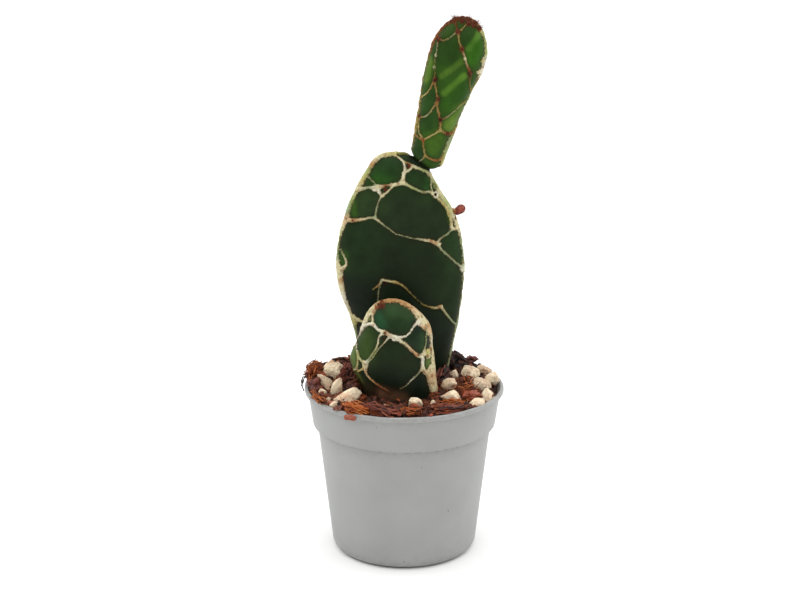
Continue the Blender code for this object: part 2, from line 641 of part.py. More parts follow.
# The club-shaped young stem on the main stem's right shoulder
TOP = Stem(
    name="top_pad", base=(5.2, 6.0, 105.0), tilt=13.0, start=-3.0, tip=43.4, foot=3.0, cap=9.5,
    centre=[(-3, -0.9), (3, -0.6), (7, -0.1), (12, 0.15), (19, 0.4), (25, 0.7), (31, 1.4), (38, 1.6), (43.4, 1.6)],
    width=[(-3, 3.3), (3, 3.6), (7, 4.4), (12, 4.9), (19, 5.7), (25, 6.6), (31, 7.2), (38, 7.0), (43.4, 6.7)],
    thick=[(-3, 2.4), (3, 2.5), (12, 3.3), (25, 4.2), (34, 4.0), (43.4, 3.4)],
    strand_width=0.7, margin_width=0.9,
    knots={
        "A": (-4.6, 36.4), "T": (0.0, 39.6), "B": (-3.0, 26.2), "C": (-1.1, 21.2), "D": (0.8, 16.0),
        "E": (-4.5, 15.0), "F": (1.4, 13.2), "G": (-2.3, 9.4), "N": (-0.8, 5.4),
        "b1": (2.0, 36.0), "b2": (-1.0, 29.0), "b3": (3.5, 24.0), "b4": (-1.0, 17.5), "b5": (1.5, 10.5),
    },
    front=[
        ("A", (-3.0, 36.6), (-1.6, 37.8), "T"),
        ("T", (-0.9, 41.2), (-1.3, 42.6)),
        ("T", (1.1, 40.8), (2.2, 43.0)),
        ("T", (0.9, 37.2), (2.3, 35.0), (3.8, 32.5), (5.5, 30.0), (6.1, 27.4), (7.0, 25.0)),
        ("A", (-4.3, 34.4), (-4.2, 31.8), (-3.8, 28.8), "B"),
        ("B", (-3.6, 23.5), (-4.4, 21.6), (-5.5, 20.0)),
        ("B", (-2.0, 23.3), "C"),
        ("C", (-0.6, 18.6), "D"),
        ("C", (-1.8, 18.4), (-3.2, 15.8), "E"),
        ("D", (2.2, 16.9), (3.8, 18.8), (6.2, 22.0)),
        ("D", "F"),
        ("F", (3.3, 12.4), (5.1, 13.0)),
        ("F", (0.0, 11.7), "G"),
        ("G", (-4.6, 9.8)),
        ("E", (-3.9, 11.4), "G"),
        ("G", (-1.6, 7.2), "N"),
        ("N", (1.1, 4.7), (2.8, 4.8), (4.2, 6.0)),
        ("N", (-1.4, 4.2), (-2.2, 2.6)),
    ],
    back=[
        ((1.8, 43.3), (2.6, 39.5), "b1"),
        ("b1", (5.5, 34.5), (8.3, 35.5)),
        ("b1", (-0.5, 32.5), "b2"),
        ("b2", (-3.5, 30.5), (-5.8, 31.5)),
        ("b2", (1.5, 26.0), "b3"),
        ("b3", (5.5, 24.0), (7.2, 26.0)),
        ("b2", (-2.5, 23.5), "b4"),
        ("b3", (1.5, 20.5), "b4"),
        ("b4", (-3.2, 15.5), (-5.0, 16.5)),
        ("b4", (0.5, 13.5), "b5"),
        ("b5", (3.4, 11.8), (5.0, 14.5)),
        ("b5", (-1.2, 7.6), (-4.2, 8.0)),
        ("b5", (1.8, 6.0), (1.2, 1.5)),
    ],
)

# The plump young stem rooted in front, with a broad corky margin and a swelling low at its left
FRONT = Stem(
    name="front_pad", base=(-1.5, -8.0, 38.0), tilt=0.0, start=0.0, tip=35.8, foot=5.0, cap=14.0,
    centre=[(0, 0.8), (7, 0.9), (10, 0.3), (13, -0.5), (17, -1.4), (20, -1.4), (23, -1.0), (27, -0.7), (31, -1.0),
            (35.8, -2.0)],
    width=[(0, 7.5), (7, 9.0), (10, 9.8), (13, 10.4), (17, 11.1), (20, 11.1), (23, 10.7), (27, 10.5), (31, 10.2),
           (35.8, 9.8)],
    thick=[(0, 4.2), (8, 5.4), (18, 6.0), (28, 5.4), (35.8, 4.6)],
    strand_width=0.8, margin_width=1.35,
    knots={
        "P1": (-6.8, 29.6), "P2": (-3.6, 27.7), "P3": (-1.0, 26.4), "P4": (5.1, 29.9), "P5": (5.2, 21.6),
        "P6": (-8.9, 19.0), "P7": (6.1, 16.8),
        "b1": (0.0, 27.0), "b2": (-5.0, 19.5), "b3": (4.5, 19.0), "b4": (0.0, 12.5),
    },
    front=[
        ((-5.6, 34.6), (-6.8, 31.8), "P1"),
        ("P1", (-5.2, 28.2), "P2"),
        ("P2", "P3"),
        ("P1", (-8.6, 28.9), (-10.2, 27.6)),
        ("P3", (1.6, 26.7), (3.0, 27.8), (4.1, 29.2), "P4"),
        ("P4", (7.4, 30.4)),
        ("P4", (6.5, 28.3), (7.2, 25.6), (6.8, 22.9), "P5"),
        ("P3", (1.7, 25.0), (3.4, 23.5), "P5"),
        ("P5", (6.1, 19.4), "P7"),
        ("P7", (4.8, 15.8), (2.6, 13.8), (0.0, 12.0)),
        ("P7", (8.0, 14.0), (9.6, 11.0)),
        ("P2", (-4.4, 24.6), (-6.6, 22.0), "P6"),
        ("P6", (-10.5, 20.6), (-11.1, 23.0), (-10.6, 26.4)),
        ("P6", (-12.4, 17.4)),
        ("P6", (-8.6, 16.6), (-6.6, 14.0), (-4.0, 12.2), (-2.4, 11.0)),
    ],
    back=[
        ((-2.0, 35.2), (-1.0, 31.0), "b1"),
        ("b1", (-3.5, 23.5), "b2"),
        ("b1", (3.2, 23.5), "b3"),
        ("b2", (-8.0, 20.5), (-12.0, 21.5)),
        ("b3", (7.0, 20.5), (9.4, 22.5)),
        ("b2", (-3.0, 15.5), "b4"),
        ("b3", (3.0, 15.0), "b4"),
        ("b4", (-0.5, 9.0)),
    ],
)


def build_stem(stem, shoulder=None):
    """A stem with its net; a stem that grows on another is cut to stand just clear of it."""
    skin = material(f"{stem.name} waxy skin", (0.035, 0.075, 0.03), 0.4)
    cork = material(f"{stem.name} cork net", (0.55, 0.50, 0.30), 0.75)
    thing = add_object(stem.name, stem_mesh(stem), [skin, cork])
    if shoulder:
        clear = stem_mesh(shoulder, netted=False, inflate=NET_HEIGHT + CLEARANCE)
        apply_boolean(thing, "DIFFERENCE", [add_object("shoulder clearance", clear, [])])


# The red bud on the main stem's right edge
BUD_FOOT = (13.95, 6.0, 94.2)
BUD_LEAN = 62.0          # degrees from upright, to the right
BUD_LENGTH = 3.1
BUD_RADIUS = 1.25


def build_bud():
    """An egg-shaped bud that stands out from the edge."""
    stations = [(0.0, 0.55), (0.6, 0.9), (1.7, BUD_RADIUS), (2.6, 0.95), (2.95, 0.5)]
    profile = [(0.0, 0.0)] + [(radius, height) for height, radius in stations] + [(0.0, BUD_LENGTH)]
    mesh = turned(profile, 12)
    place = Matrix.Translation(BUD_FOOT) @ Matrix.Rotation(math.radians(BUD_LEAN), 4, "Y")
    bmesh.ops.transform(mesh, matrix=place, verts=mesh.verts[:])
    add_object("bud", mesh, [material("red bud scale", (0.33, 0.05, 0.03), 0.55)])


def build():
    """Model every piece in the empty scene."""
    for thing in list(bpy.data.objects):
        bpy.data.objects.remove(thing)
    build_pot()
    build_soil([MAIN, FRONT])
    build_stem(MAIN)
    build_stem(TOP, shoulder=MAIN)
    build_stem(FRONT)
    build_bud()


build()
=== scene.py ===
"""Looks for a potted netted prickly pear: stems with a corky net, gritty soil, a moulded pot and a studio.

Sizes are in millimetres and become metres when a mesh is made. The origin is the middle of the pot's foot,
+Z is up, and the stems turn their front faces to -Y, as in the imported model.
"""

import logging
import math
import random
from dataclasses import dataclass, field
from enum import Enum
from functools import partial

import bmesh
import bpy
import numpy as np
from mathutils import Matrix, Vector, noise


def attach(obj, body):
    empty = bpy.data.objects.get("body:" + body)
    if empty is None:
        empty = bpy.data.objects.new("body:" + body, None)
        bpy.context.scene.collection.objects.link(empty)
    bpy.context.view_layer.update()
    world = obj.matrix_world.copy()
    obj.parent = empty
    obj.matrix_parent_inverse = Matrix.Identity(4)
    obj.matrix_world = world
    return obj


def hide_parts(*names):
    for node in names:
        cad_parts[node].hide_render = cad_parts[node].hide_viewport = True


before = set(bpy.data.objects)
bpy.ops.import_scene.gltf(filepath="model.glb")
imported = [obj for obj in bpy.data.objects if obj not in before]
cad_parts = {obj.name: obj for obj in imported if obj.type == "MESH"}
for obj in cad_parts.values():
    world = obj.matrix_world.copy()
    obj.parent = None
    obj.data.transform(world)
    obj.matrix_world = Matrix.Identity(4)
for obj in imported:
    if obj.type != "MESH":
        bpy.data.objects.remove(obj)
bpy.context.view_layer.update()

MM = 0.001
BODY = "root"
MIX_FACTOR, MIX_A, MIX_B, MIX_RESULT = 0, 6, 7, 2    # sockets of a Mix node that mixes colours

log = logging.getLogger("potted_opuntia")

Place = tuple[float, float]
Point = tuple[float, float, float]
Colour = tuple[float, float, float]
Stations = list[tuple[float, float]]
Array = np.ndarray
Shape = tuple[list, list]                             # points and faces
Areole = tuple[np.ndarray, np.ndarray, float]         # point, way out of the skin, and share of full size
Object = bpy.types.Object
Material = bpy.types.Material
Tree = bpy.types.NodeTree
Node = bpy.types.Node
Socket = bpy.types.NodeSocket
Source = Socket | Node                                # a node stands for its first output

ALL_WAYS = ((-1.0, -1.0, -1.0), (1.0, 1.0, 1.0))      # bounds of a random vector with no favoured direction


def linear(code: str) -> Colour:
    """Turn an sRGB hex colour to linear light.

    Args:
        code: Colour such as "#cfc8a3".

    Returns:
        Linear red, green and blue.
    """
    values = [int(code[k:k + 2], 16) / 255 for k in (1, 3, 5)]
    return tuple(v / 12.92 if v <= 0.04045 else ((v + 0.055) / 1.055) ** 2.4 for v in values)


def smooth_value(stations: Stations, at: Array) -> Array:
    """Read a smooth curve through stations.

    Args:
        stations: Pairs of place and value, in order of place.
        at: Places to read at.

    Returns:
        The values there.
    """
    places = np.array([s[0] for s in stations], float)
    values = np.array([s[1] for s in stations], float)
    at = np.clip(np.asarray(at, float), places[0], places[-1])
    slopes = np.diff(values) / np.diff(places)
    bends = np.concatenate(([slopes[0]], (slopes[:-1] + slopes[1:]) / 2, [slopes[-1]]))
    left = np.clip(np.searchsorted(places, at, side="right") - 1, 0, len(places) - 2)
    span = places[left + 1] - places[left]
    t = (at - places[left]) / span
    return ((2 * t**3 - 3 * t**2 + 1) * values[left] + (t**3 - 2 * t**2 + t) * span * bends[left]
            + (3 * t**2 - 2 * t**3) * values[left + 1] + (t**3 - t**2) * span * bends[left + 1])


def smooth_step(low: float, high: float, value: Array) -> Array:
    """Rise smoothly from 0 at low to 1 at high."""
    t = np.clip((np.asarray(value, float) - low) / (high - low), 0, 1)
    return t * t * (3 - 2 * t)


def lumps(points: Array, grain: float, seed: float) -> Array:
    """Smooth noise from about -1 to 1.

    Args:
        points: Places in millimetres, one row of two or three each.
        grain: Size of a lump in millimetres.
        seed: Shift that picks another pattern.

    Returns:
        One value for each place.
    """
    spots = np.zeros((len(points), 3))
    spots[:, :points.shape[1]] = points / grain
    spots[:, 2] += seed
    return np.array([noise.noise(spot) for spot in spots.tolist()])


def curve_through(points: Array, steps: int = 8) -> Array:
    """A fine smooth line through points.

    Args:
        points: The points, one row each.
        steps: Pieces between two points.

    Returns:
        The points of the fine line.
    """
    points = np.array(points, float)
    ends = np.concatenate(([2 * points[0] - points[1]], points, [2 * points[-1] - points[-2]]))
    line = []
    for a, b, c, d in zip(ends, ends[1:], ends[2:], ends[3:]):
        for t in np.linspace(0, 1, steps, endpoint=False):
            line.append(0.5 * (2 * b + (c - a) * t + (2 * a - 5 * b + 4 * c - d) * t * t
                               + (3 * b - a - 3 * c + d) * t**3))
    line.append(points[-1])
    return np.array(line)


def nearest_on_line(line: Array, points: Array) -> tuple[Array, Array]:
    """Distance from points to a line, and how far along it the nearest place is.

    Args:
        line: The line's points, one row each.
        points: The points to measure from.

    Returns:
        Distances, and shares from 0 at the line's start to 1 at its end.
    """
    runs = np.diff(line, axis=0)
    lengths = np.linalg.norm(runs, axis=1)
    before = np.concatenate(([0], np.cumsum(lengths)))
    distances = np.empty(len(points))
    shares = np.empty(len(points))
    for first in range(0, len(points), 4000):
        block = points[first:first + 4000]
        away = block[:, None, :] - line[None, :-1]
        t = np.clip((away * runs).sum(-1) / np.maximum(lengths**2, 1e-12), 0, 1)
        gaps = np.linalg.norm(away - t[..., None] * runs[None], axis=-1)
        best = gaps.argmin(axis=1)
        rows = np.arange(len(block))
        distances[first:first + 4000] = gaps[rows, best]
        shares[first:first + 4000] = (before[best] + t[rows, best] * lengths[best]) / before[-1]
    return distances, shares


def add_object(name: str, data: bpy.types.ID) -> Object:
    """Link a new object that holds a mesh, a light or a camera.

    Args:
        name: The object's name.
        data: What it holds.

    Returns:
        The object.
    """
    thing = bpy.data.objects.new(name, data)
    bpy.context.scene.collection.objects.link(thing)
    return thing


def make_object(name: str, verts: Array, faces: list, material: Material | None = None,
                edges: list | tuple = ()) -> Object:
    """Make a smooth object from points in millimetres.

    Args:
        name: The object's name.
        verts: Points in millimetres.
        faces: Corner numbers of each face.
        material: Its finish.
        edges: Ends of each edge, where there are no faces.

    Returns:
        The object.
    """
    mesh = bpy.data.meshes.new(name)
    mesh.from_pydata((np.asarray(verts) * MM).tolist(), edges, faces)
    if material:
        mesh.materials.append(material)
    mesh.shade_smooth()
    return add_object(name, mesh)


def ring_faces(rings: int, sides: int) -> list[tuple]:
    """Four-sided faces between rings of points.

    Args:
        rings: Number of rings.
        sides: Points in each ring, which closes on itself.

    Returns:
        Corner numbers of each face.
    """
    return [(r * sides + k, r * sides + n, (r + 1) * sides + n, (r + 1) * sides + k)
            for r in range(rings - 1) for k, n in enumerate([*range(1, sides), 0])]


def from_bmesh(name: str, mesh: bmesh.types.BMesh, material: Material | None) -> Object:
    """Make a smooth object from a bmesh in millimetres, and free the bmesh.

    Args:
        name: The object's name.
        mesh: The bmesh.
        material: Its finish.

    Returns:
        The object.
    """
    bmesh.ops.scale(mesh, vec=(MM, MM, MM), verts=mesh.verts[:])
    data = bpy.data.meshes.new(name)
    mesh.to_mesh(data)
    mesh.free()
    if material:
        data.materials.append(material)
    data.shade_smooth()
    return add_object(name, data)


def taken(mesh: bmesh.types.BMesh) -> Shape:
    """Take the points and faces of a bmesh, and free it.

    Args:
        mesh: The bmesh.

    Returns:
        Points and faces.
    """
    verts = [tuple(vert.co) for vert in mesh.verts]
    faces = [tuple(vert.index for vert in face.verts) for face in mesh.faces]
    mesh.free()
    return verts, faces


def store(thing: Object, name: str, values: Array) -> None:
    """Keep a number or a colour for each point of an object, for its material to read.

    Args:
        thing: The object.
        name: The attribute's name.
        values: One number or one linear colour for each point.
    """
    kind, key = ("FLOAT", "value") if values.ndim == 1 else ("FLOAT_COLOR", "color")
    if values.ndim == 2:
        values = np.concatenate([values, np.ones((len(values), 1))], axis=1)
    layer = thing.data.attributes.new(name, kind, "POINT")
    layer.data.foreach_set(key, values.astype(np.float32).ravel())


def applied(thing: Object) -> Object:
    """Turn an object and its modifiers into a plain mesh on the same object.

    Args:
        thing: The object.

    Returns:
        The same object.
    """
    graph = bpy.context.evaluated_depsgraph_get()
    result = bpy.data.meshes.new_from_object(thing.evaluated_get(graph))
    thing.modifiers.clear()
    thing.data = result
    return thing


def add_node(tree: Tree, kind: str, inputs: dict | None = None, **settings: object) -> Node:
    """Add a node with its settings and links.

    Args:
        tree: The tree it goes into.
        kind: Blender's name of the node type.
        inputs: For each input socket, by name or number, a value or what to link from.
        **settings: Properties of the node.

    Returns:
        The node.
    """
    node = tree.nodes.new(kind)
    for name, value in settings.items():
        setattr(node, name, value)
    for key, value in (inputs or {}).items():
        if isinstance(value, Source):
            tree.links.new(value if isinstance(value, Socket) else value.outputs[0], node.inputs[key])
        else:
            node.inputs[key].default_value = value
    return node


def start_tree(name: str, numbers: dict[str, float]) -> tuple[Tree, bpy.types.NodeOutputs]:
    """Begin a tree of geometry nodes.

    Args:
        name: Its name.
        numbers: Its named inputs besides the geometry, whole numbers for counts.

    Returns:
        The tree, and its inputs' sockets to link from.
    """
    tree = bpy.data.node_groups.new(name, "GeometryNodeTree")
    tree.interface.new_socket("Geometry", in_out="INPUT", socket_type="NodeSocketGeometry")
    for key, value in numbers.items():
        kind = "NodeSocketInt" if isinstance(value, int) else "NodeSocketFloat"
        tree.interface.new_socket(key, in_out="INPUT", socket_type=kind)
    tree.interface.new_socket("Geometry", in_out="OUTPUT", socket_type="NodeSocketGeometry")
    return tree, add_node(tree, "NodeGroupInput").outputs


def chance(tree: Tree, low: float | Point, high: float | Point, seed: int,
           each: Source | None = None) -> Socket:
    """Random numbers or vectors between two bounds, one for each element or for each value of a socket.

    Args:
        tree: The tree it goes into.
        low: Lower bound.
        high: Upper bound.
        seed: Picks the draws.
        each: What elements share where they get the same draw.

    Returns:
        The random values.
    """
    vector = isinstance(low, tuple)
    settings = {0: low, 1: high} if vector else {2: low, 3: high}
    settings["Seed"] = seed
    if each:
        settings["ID"] = each
    kind = "FLOAT_VECTOR" if vector else "FLOAT"
    return add_node(tree, "FunctionNodeRandomValue", settings, data_type=kind).outputs[0 if vector else 1]


def end_tree(tree: Tree, geometry: Source, material: Material) -> None:
    """Make the result real, give it its finish and hand it out.

    Args:
        tree: The tree.
        geometry: What it has made.
        material: The finish.
    """
    whole = add_node(tree, "GeometryNodeRealizeInstances", {"Geometry": geometry})
    dressed = add_node(tree, "GeometryNodeSetMaterial", {"Geometry": whole, "Material": material})
    add_node(tree, "NodeGroupOutput", {"Geometry": dressed})


def shaded_copies(tree: Tree, copies: Source, seed: int) -> Node:
    """Give each copy a random shade, more of them dark than pale.

    Args:
        tree: The tree.
        copies: The copies.
        seed: Picks the shades.

    Returns:
        The copies again.
    """
    shade = add_node(tree, "ShaderNodeMath", {0: chance(tree, 0.0, 1.0, seed), 1: 2.1}, operation="POWER")
    return add_node(tree, "GeometryNodeStoreNamedAttribute",
                    {"Geometry": copies, "Name": "shade", "Value": shade}, data_type="FLOAT",
                    domain="INSTANCE")


def run_tree(thing: Object, tree: Tree, numbers: dict[str, float]) -> Object:
    """Run a tree on an object with values for its named inputs, and keep the result as a plain mesh.

    Args:
        thing: The object.
        tree: The tree.
        numbers: A value for each named input.

    Returns:
        The same object.
    """
    step = thing.modifiers.new(tree.name, "NODES")
    step.node_group = tree
    for item in tree.interface.items_tree:
        if item.in_out == "INPUT" and item.name in numbers:
            step[item.identifier] = numbers[item.name]
    return applied(thing)


def joined(name: str, parts: list[tuple], material: Material) -> Object:
    """Join meshes into one piece.

    Args:
        name: The piece's name.
        parts: For each mesh its points in millimetres, its faces, and the shade of each point.
        material: The piece's finish.

    Returns:
        The piece.
    """
    verts, faces, shades = [], [], []
    for points, sides, shade in parts:
        first = len(verts)
        verts += [tuple(point) for point in points]
        faces += [tuple(first + k for k in side) for side in sides]
        shades += list(shade)
    thing = make_object(name, np.array(verts), faces, material)
    store(thing, "shade", np.array(shades))
    return face_outwards(thing)


def face_outwards(thing: Object) -> Object:
    """Turn all faces of closed shapes outwards.

    Args:
        thing: The object.

    Returns:
        The same object.
    """
    mesh = bmesh.new()
    mesh.from_mesh(thing.data)
    bmesh.ops.recalc_face_normals(mesh, faces=mesh.faces[:])
    mesh.to_mesh(thing.data)
    mesh.free()
    return thing


@dataclass(frozen=True)
class Surface:
    """A material under way, with short ways to add the nodes that the finishes share."""

    material: Material
    tree: Tree
    shader: Node
    where: Socket

    def noise(self, grain: float, detail: float = 3.0, roughness: float = 0.5) -> Socket:
        """Cloudy noise with lumps so many millimetres wide."""
        settings = {"Vector": self.where, "Scale": 1 / (grain * MM), "Detail": detail, "Roughness": roughness}
        return add_node(self.tree, "ShaderNodeTexNoise", settings).outputs["Fac"]

    def cells(self, grain: float, output: str) -> Socket:
        """Distance to the nearest of points strewn so many millimetres apart, or that point's own colour."""
        settings = {"Vector": self.where, "Scale": 1 / (grain * MM)}
        return add_node(self.tree, "ShaderNodeTexVoronoi", settings).outputs[output]

    def remap(self, value: Source, low: float, high: float, to_low: float = 0.0,
              to_high: float = 1.0) -> Socket:
        """Map one range of a value onto another, clamped."""
        settings = {"Value": value, "From Min": low, "From Max": high, "To Min": to_low, "To Max": to_high}
        return add_node(self.tree, "ShaderNodeMapRange", settings).outputs[0]

    def maths(self, operation: str, *terms: Socket | float, clamp: bool = False) -> Socket:
        """One step of arithmetic."""
        settings = dict(enumerate(terms))
        return add_node(self.tree, "ShaderNodeMath", settings, operation=operation,
                        use_clamp=clamp).outputs[0]

    def scaled(self, colour: Socket | Colour, gain: Socket) -> Socket:
        """A colour times a number."""
        return add_node(self.tree, "ShaderNodeVectorMath", {0: colour, "Scale": gain},
                        operation="SCALE").outputs[0]

    def mixed(self, share: Socket, first: Socket | str, second: Socket | str) -> Socket:
        """A mix of two colours, each a socket or an sRGB code.

        Args:
            share: Share of the second colour.
            first: One colour.
            second: The other.

        Returns:
            The mix.
        """
        first, second = ((*linear(c), 1.0) if isinstance(c, str) else c for c in (first, second))
        settings = {MIX_FACTOR: share, MIX_A: first, MIX_B: second}
        return add_node(self.tree, "ShaderNodeMix", settings, data_type="RGBA").outputs[MIX_RESULT]

    def attribute(self, name: str, output: str = "Fac") -> Socket:
        """A value that the piece stores for its points."""
        return add_node(self.tree, "ShaderNodeAttribute", attribute_name=name).outputs[output]

    def bump(self, height: Socket, depth: float, strength: float, over: Socket | None = None) -> Socket:
        """Relief so many millimetres deep, over other relief where there is some.

        Args:
            height: Height of the relief from 0 to 1.
            depth: Depth in millimetres.
            strength: How much of it shows.
            over: The relief below.

        Returns:
            The bent normal.
        """
        settings = {"Height": height, "Distance": depth * MM, "Strength": strength}
        if over:
            settings["Normal"] = over
        return add_node(self.tree, "ShaderNodeBump", settings).outputs[0]

    def finish(self, colour: Socket, normal: Socket, roughness: Socket | None = None) -> Material:
        """Link what varies to the shader.

        Args:
            colour: Colour of the surface.
            normal: Its bent normal.
            roughness: Its roughness, where it varies.

        Returns:
            The material.
        """
        for name, source in (("Base Color", colour), ("Normal", normal), ("Roughness", roughness)):
            if source:
                self.tree.links.new(source, self.shader.inputs[name])
        return self.material


@dataclass(frozen=True)
class Finish:
    """A real material: its name and how rough and glossy it is."""

    name: str
    roughness: float
    gloss: float             # the shader's specular level

    def start(self) -> Surface:
        """Make the material with its constant values set on the shader.

        Returns:
            The material under way.
        """
        material = bpy.data.materials.new(self.name)
        material.use_nodes = True
        tree = material.node_tree
        shader = tree.nodes["Principled BSDF"]
        constants = {"Roughness": self.roughness, "Specular IOR Level": self.gloss, "Metallic": 0.0}
        for name, value in constants.items():
            shader.inputs[name].default_value = value
        return Surface(material, tree, shader, add_node(tree, "ShaderNodeTexCoord").outputs["Object"])


@dataclass(frozen=True)
class WaxySkin(Finish):
    """Cactus skin under a thin wax bloom, and the dry cork of its net: satin green against matt cream."""

    net_roughness: float = 0.85
    scurf_and_edge_shade: str = "#83592f"

    def build(self) -> Material:
        """Lay the skin and the cork by the stem's own attributes.

        Returns:
            The material.
        """
        surface = self.start()
        edge = surface.maths("MULTIPLY_ADD", surface.noise(0.45), 0.8, surface.attribute("cork"))
        mask = surface.remap(edge, 0.32, 0.5)
        # The bloom is uneven over a few millimetres, and pores show as fine pale points 0.5 mm apart
        pores = surface.cells(0.5, "Distance")
        bloom = surface.remap(surface.noise(4.0, 4.0), 0.3, 0.7, 0.78, 1.22)
        gain = surface.maths("MULTIPLY", bloom, surface.remap(pores, 0.1, 0.3, 1.25, 1.0))
        skin = surface.scaled(surface.attribute("skin_tone", "Color"), gain)
        # Cork is cracked and dusty at half a millimetre, with brown scurf in specks, and painted brown shade
        # along its edges
        grain = surface.noise(0.55, 5.0, 0.65)
        cork = surface.scaled(surface.attribute("cork_tone", "Color"),
                              surface.remap(grain, 0.3, 0.7, 0.68, 1.22))
        specks = surface.remap(surface.noise(1.2, 4.0), 0.54, 0.68, 0.0, 0.7)
        # Painted shade: the cork is browned along its edges, where it rises from the skin
        painted_edge_shade = surface.remap(edge, 0.4, 0.62, 0.5, 0.0)
        cork_scurf_and_shade = surface.mixed(surface.maths("MAXIMUM", specks, painted_edge_shade), cork, self.scurf_and_edge_shade)
        relief = surface.bump(surface.maths("MULTIPLY", grain, mask), 0.25, 0.8)
        rough = surface.remap(mask, 0.0, 1.0, self.roughness, self.net_roughness)
        return surface.finish(surface.mixed(mask, skin, cork_scurf_and_shade), surface.bump(pores, 0.03, 0.4, relief),
                              rough)


@dataclass(frozen=True)
class Speckled(Finish):
    """A matt grain whose colour runs between two tones, by an attribute of its own and by noise."""

    dark: str
    pale: str
    accent: str              # stains or bright fibres here and there, never on the dark parts
    grain: float             # size of the mottling in millimetres
    relief: float            # depth of the fine relief in millimetres
    accent_share: float = 0.5

    def build(self) -> Material:
        """Mix the tones by the piece's shade attribute and by mottling.

        Returns:
            The material.
        """
        surface = self.start()
        mottle = surface.noise(self.grain, 5.0, 0.6)
        spread = surface.remap(mottle, 0.3, 0.7, -0.3, 0.3)
        share = surface.maths("ADD", surface.attribute("shade"), spread, clamp=True)
        patches = surface.remap(surface.noise(3.2 * self.grain), 0.5, 0.68, 0.0, self.accent_share)
        stain = surface.maths("MULTIPLY", patches, share)
        colour = surface.mixed(stain, surface.mixed(share, self.dark, self.pale), self.accent)
        return surface.finish(colour, surface.bump(mottle, self.relief, 0.9))


@dataclass(frozen=True)
class MouldedPlastic(Finish):
    """Recycled polypropylene, injection moulded: an even light grey satin with specks, soil dust and painted
    shade.
    """

    colour: str
    speck: str
    dust_and_shade: str

    def build(self) -> Material:
        """Even grey with clouding, sparse specks, and dust and painted shade where the pot's own attribute has
        them.

        Returns:
            The material.
        """
        surface = self.start()
        clouds = surface.remap(surface.noise(11, 4.0), 0.3, 0.7, 0.96, 1.04)
        grey = surface.scaled(linear(self.colour), clouds)
        # Specks of other plastic, up to 0.5 mm wide, in about one 2.4 mm cell of five
        draw = add_node(surface.tree, "ShaderNodeSeparateColor", {"Color": surface.cells(2.4, "Color")})
        reach = surface.remap(draw, 0.8, 1.0, 0.0, 0.125)
        near = surface.maths("SUBTRACT", reach, surface.cells(2.4, "Distance"))
        specked = surface.mixed(surface.remap(near, 0.0, 0.03, 0.0, 0.6), grey, self.speck)
        # Dark brown as dust near the foot and the lip, and as painted shade under the collar's step and on the
        # inner wall above the soil
        smear = surface.remap(surface.noise(1.6, 5.0, 0.7), 0.45, 0.7)
        dust_and_shade_veil = surface.maths("MULTIPLY", smear, surface.attribute("dust_and_shade"), clamp=True)
        peel = surface.bump(surface.noise(0.9, 2.0), 0.02, 0.5)
        return surface.finish(surface.mixed(dust_and_shade_veil, specked, self.dust_and_shade), peel)


SKIN = WaxySkin("waxy cactus skin with cork net", roughness=0.45, gloss=0.1)
POLYPROPYLENE = MouldedPlastic("moulded grey polypropylene", roughness=0.5, gloss=0.4, colour="#9b9c9a",
                               speck="#5f5a50", dust_and_shade="#5a4636")
# Coir keeps water, so it is nearly black and a little glossy, with rusty crumbs where it has dried
COIR = Speckled("moist coir", roughness=0.7, gloss=0.35, dark="#120602", pale="#7c3616", accent="#b0622e",
                grain=0.5, relief=0.3, accent_share=0.7)
FIBRE = Speckled("coir fibre", roughness=0.65, gloss=0.35, dark="#220a03", pale="#b05a22", accent="#d28a48",
                 grain=0.6, relief=0.05)
# Husk is the coconut's smooth inner shell: plum to pinkish brown, slightly shiny when wet
HUSK = Speckled("wet coconut husk", roughness=0.5, gloss=0.4, dark="#200804", pale="#96452c",
                accent="#c47c5e", grain=0.8, relief=0.15)
# Pumice is foamed glass: matt, cream, full of pores, and stained brown by wet coir
PUMICE = Speckled("washed pumice", roughness=0.9, gloss=0.25, dark="#7a4a33", pale="#efddbe",
                  accent="#bd8460", grain=0.7, relief=0.22, accent_share=0.6)
BRISTLE = Speckled("glochid bristle", roughness=0.55, gloss=0.4, dark="#4a1710", pale="#93502c",
                   accent="#7a3018", grain=0.4, relief=0.02)
# Felt is the pad of tan wool that a bud breaks out of
FELT = Speckled("areole felt", roughness=0.9, gloss=0.1, dark="#6f4524", pale="#c08d56", accent="#dcc298",
                grain=0.4, relief=0.1)
BUD_SCALE = Speckled("red bud scale", roughness=0.5, gloss=0.35, dark="#5c1a10", pale="#9a3a26",
                     accent="#b8745a", grain=0.5, relief=0.1)


class Cork(Enum):
    """Tones of the net, from fresh green strands to old brown cork."""

    WHITE = "#dcd8c0"
    CREAM = "#cfc69d"
    YELLOW = "#b8ad70"
    OLIVE = "#6f7640"
    GREEN = "#8c9c76"
    LIME = "#9da96c"
    STRAW = "#98894f"
    TAN = "#ad8355"
    RUST = "#874c2c"
    BROWN = "#572718"
    DARK = "#31120d"
    SAND = "#c7a67e"


@dataclass(frozen=True)
class Strand:
    """One strand of the net: where it runs, its half widths and its tones, both spread evenly along it."""

    points: tuple
    width: tuple[float, ...]
    cork: tuple[Cork, ...]


@dataclass(frozen=True)
class Margin:
    """A station of the corky margin: place along the stem, half width and tone."""

    along: float
    width: float
    cork: Cork


@dataclass(frozen=True)
class Spot:
    """A coloured place on skin or cork, such as an areole or a stain."""

    at: Place
    radius: float
    cork: Cork
    strength: float = 1.0

    @property
    def areole(self) -> bool:
        """Whether bristles grow here."""
        return self.strength == 1.0 and self.cork in (Cork.BROWN, Cork.DARK)


@dataclass(frozen=True)
class Patch:
    """A place or a streak of skin with a colour of its own; some are painted shade and some painted
    highlights.
    """

    start: Place
    end: Place
    spread: float
    colour: str


@dataclass
class Face:
    """What one face of a stem carries."""

    strands: list[Strand]
    webs: list[Spot] = field(default_factory=list)
    islands: list[Spot] = field(default_factory=list)
    spots: list[Spot] = field(default_factory=list)
    patches: list[Patch] = field(default_factory=list)


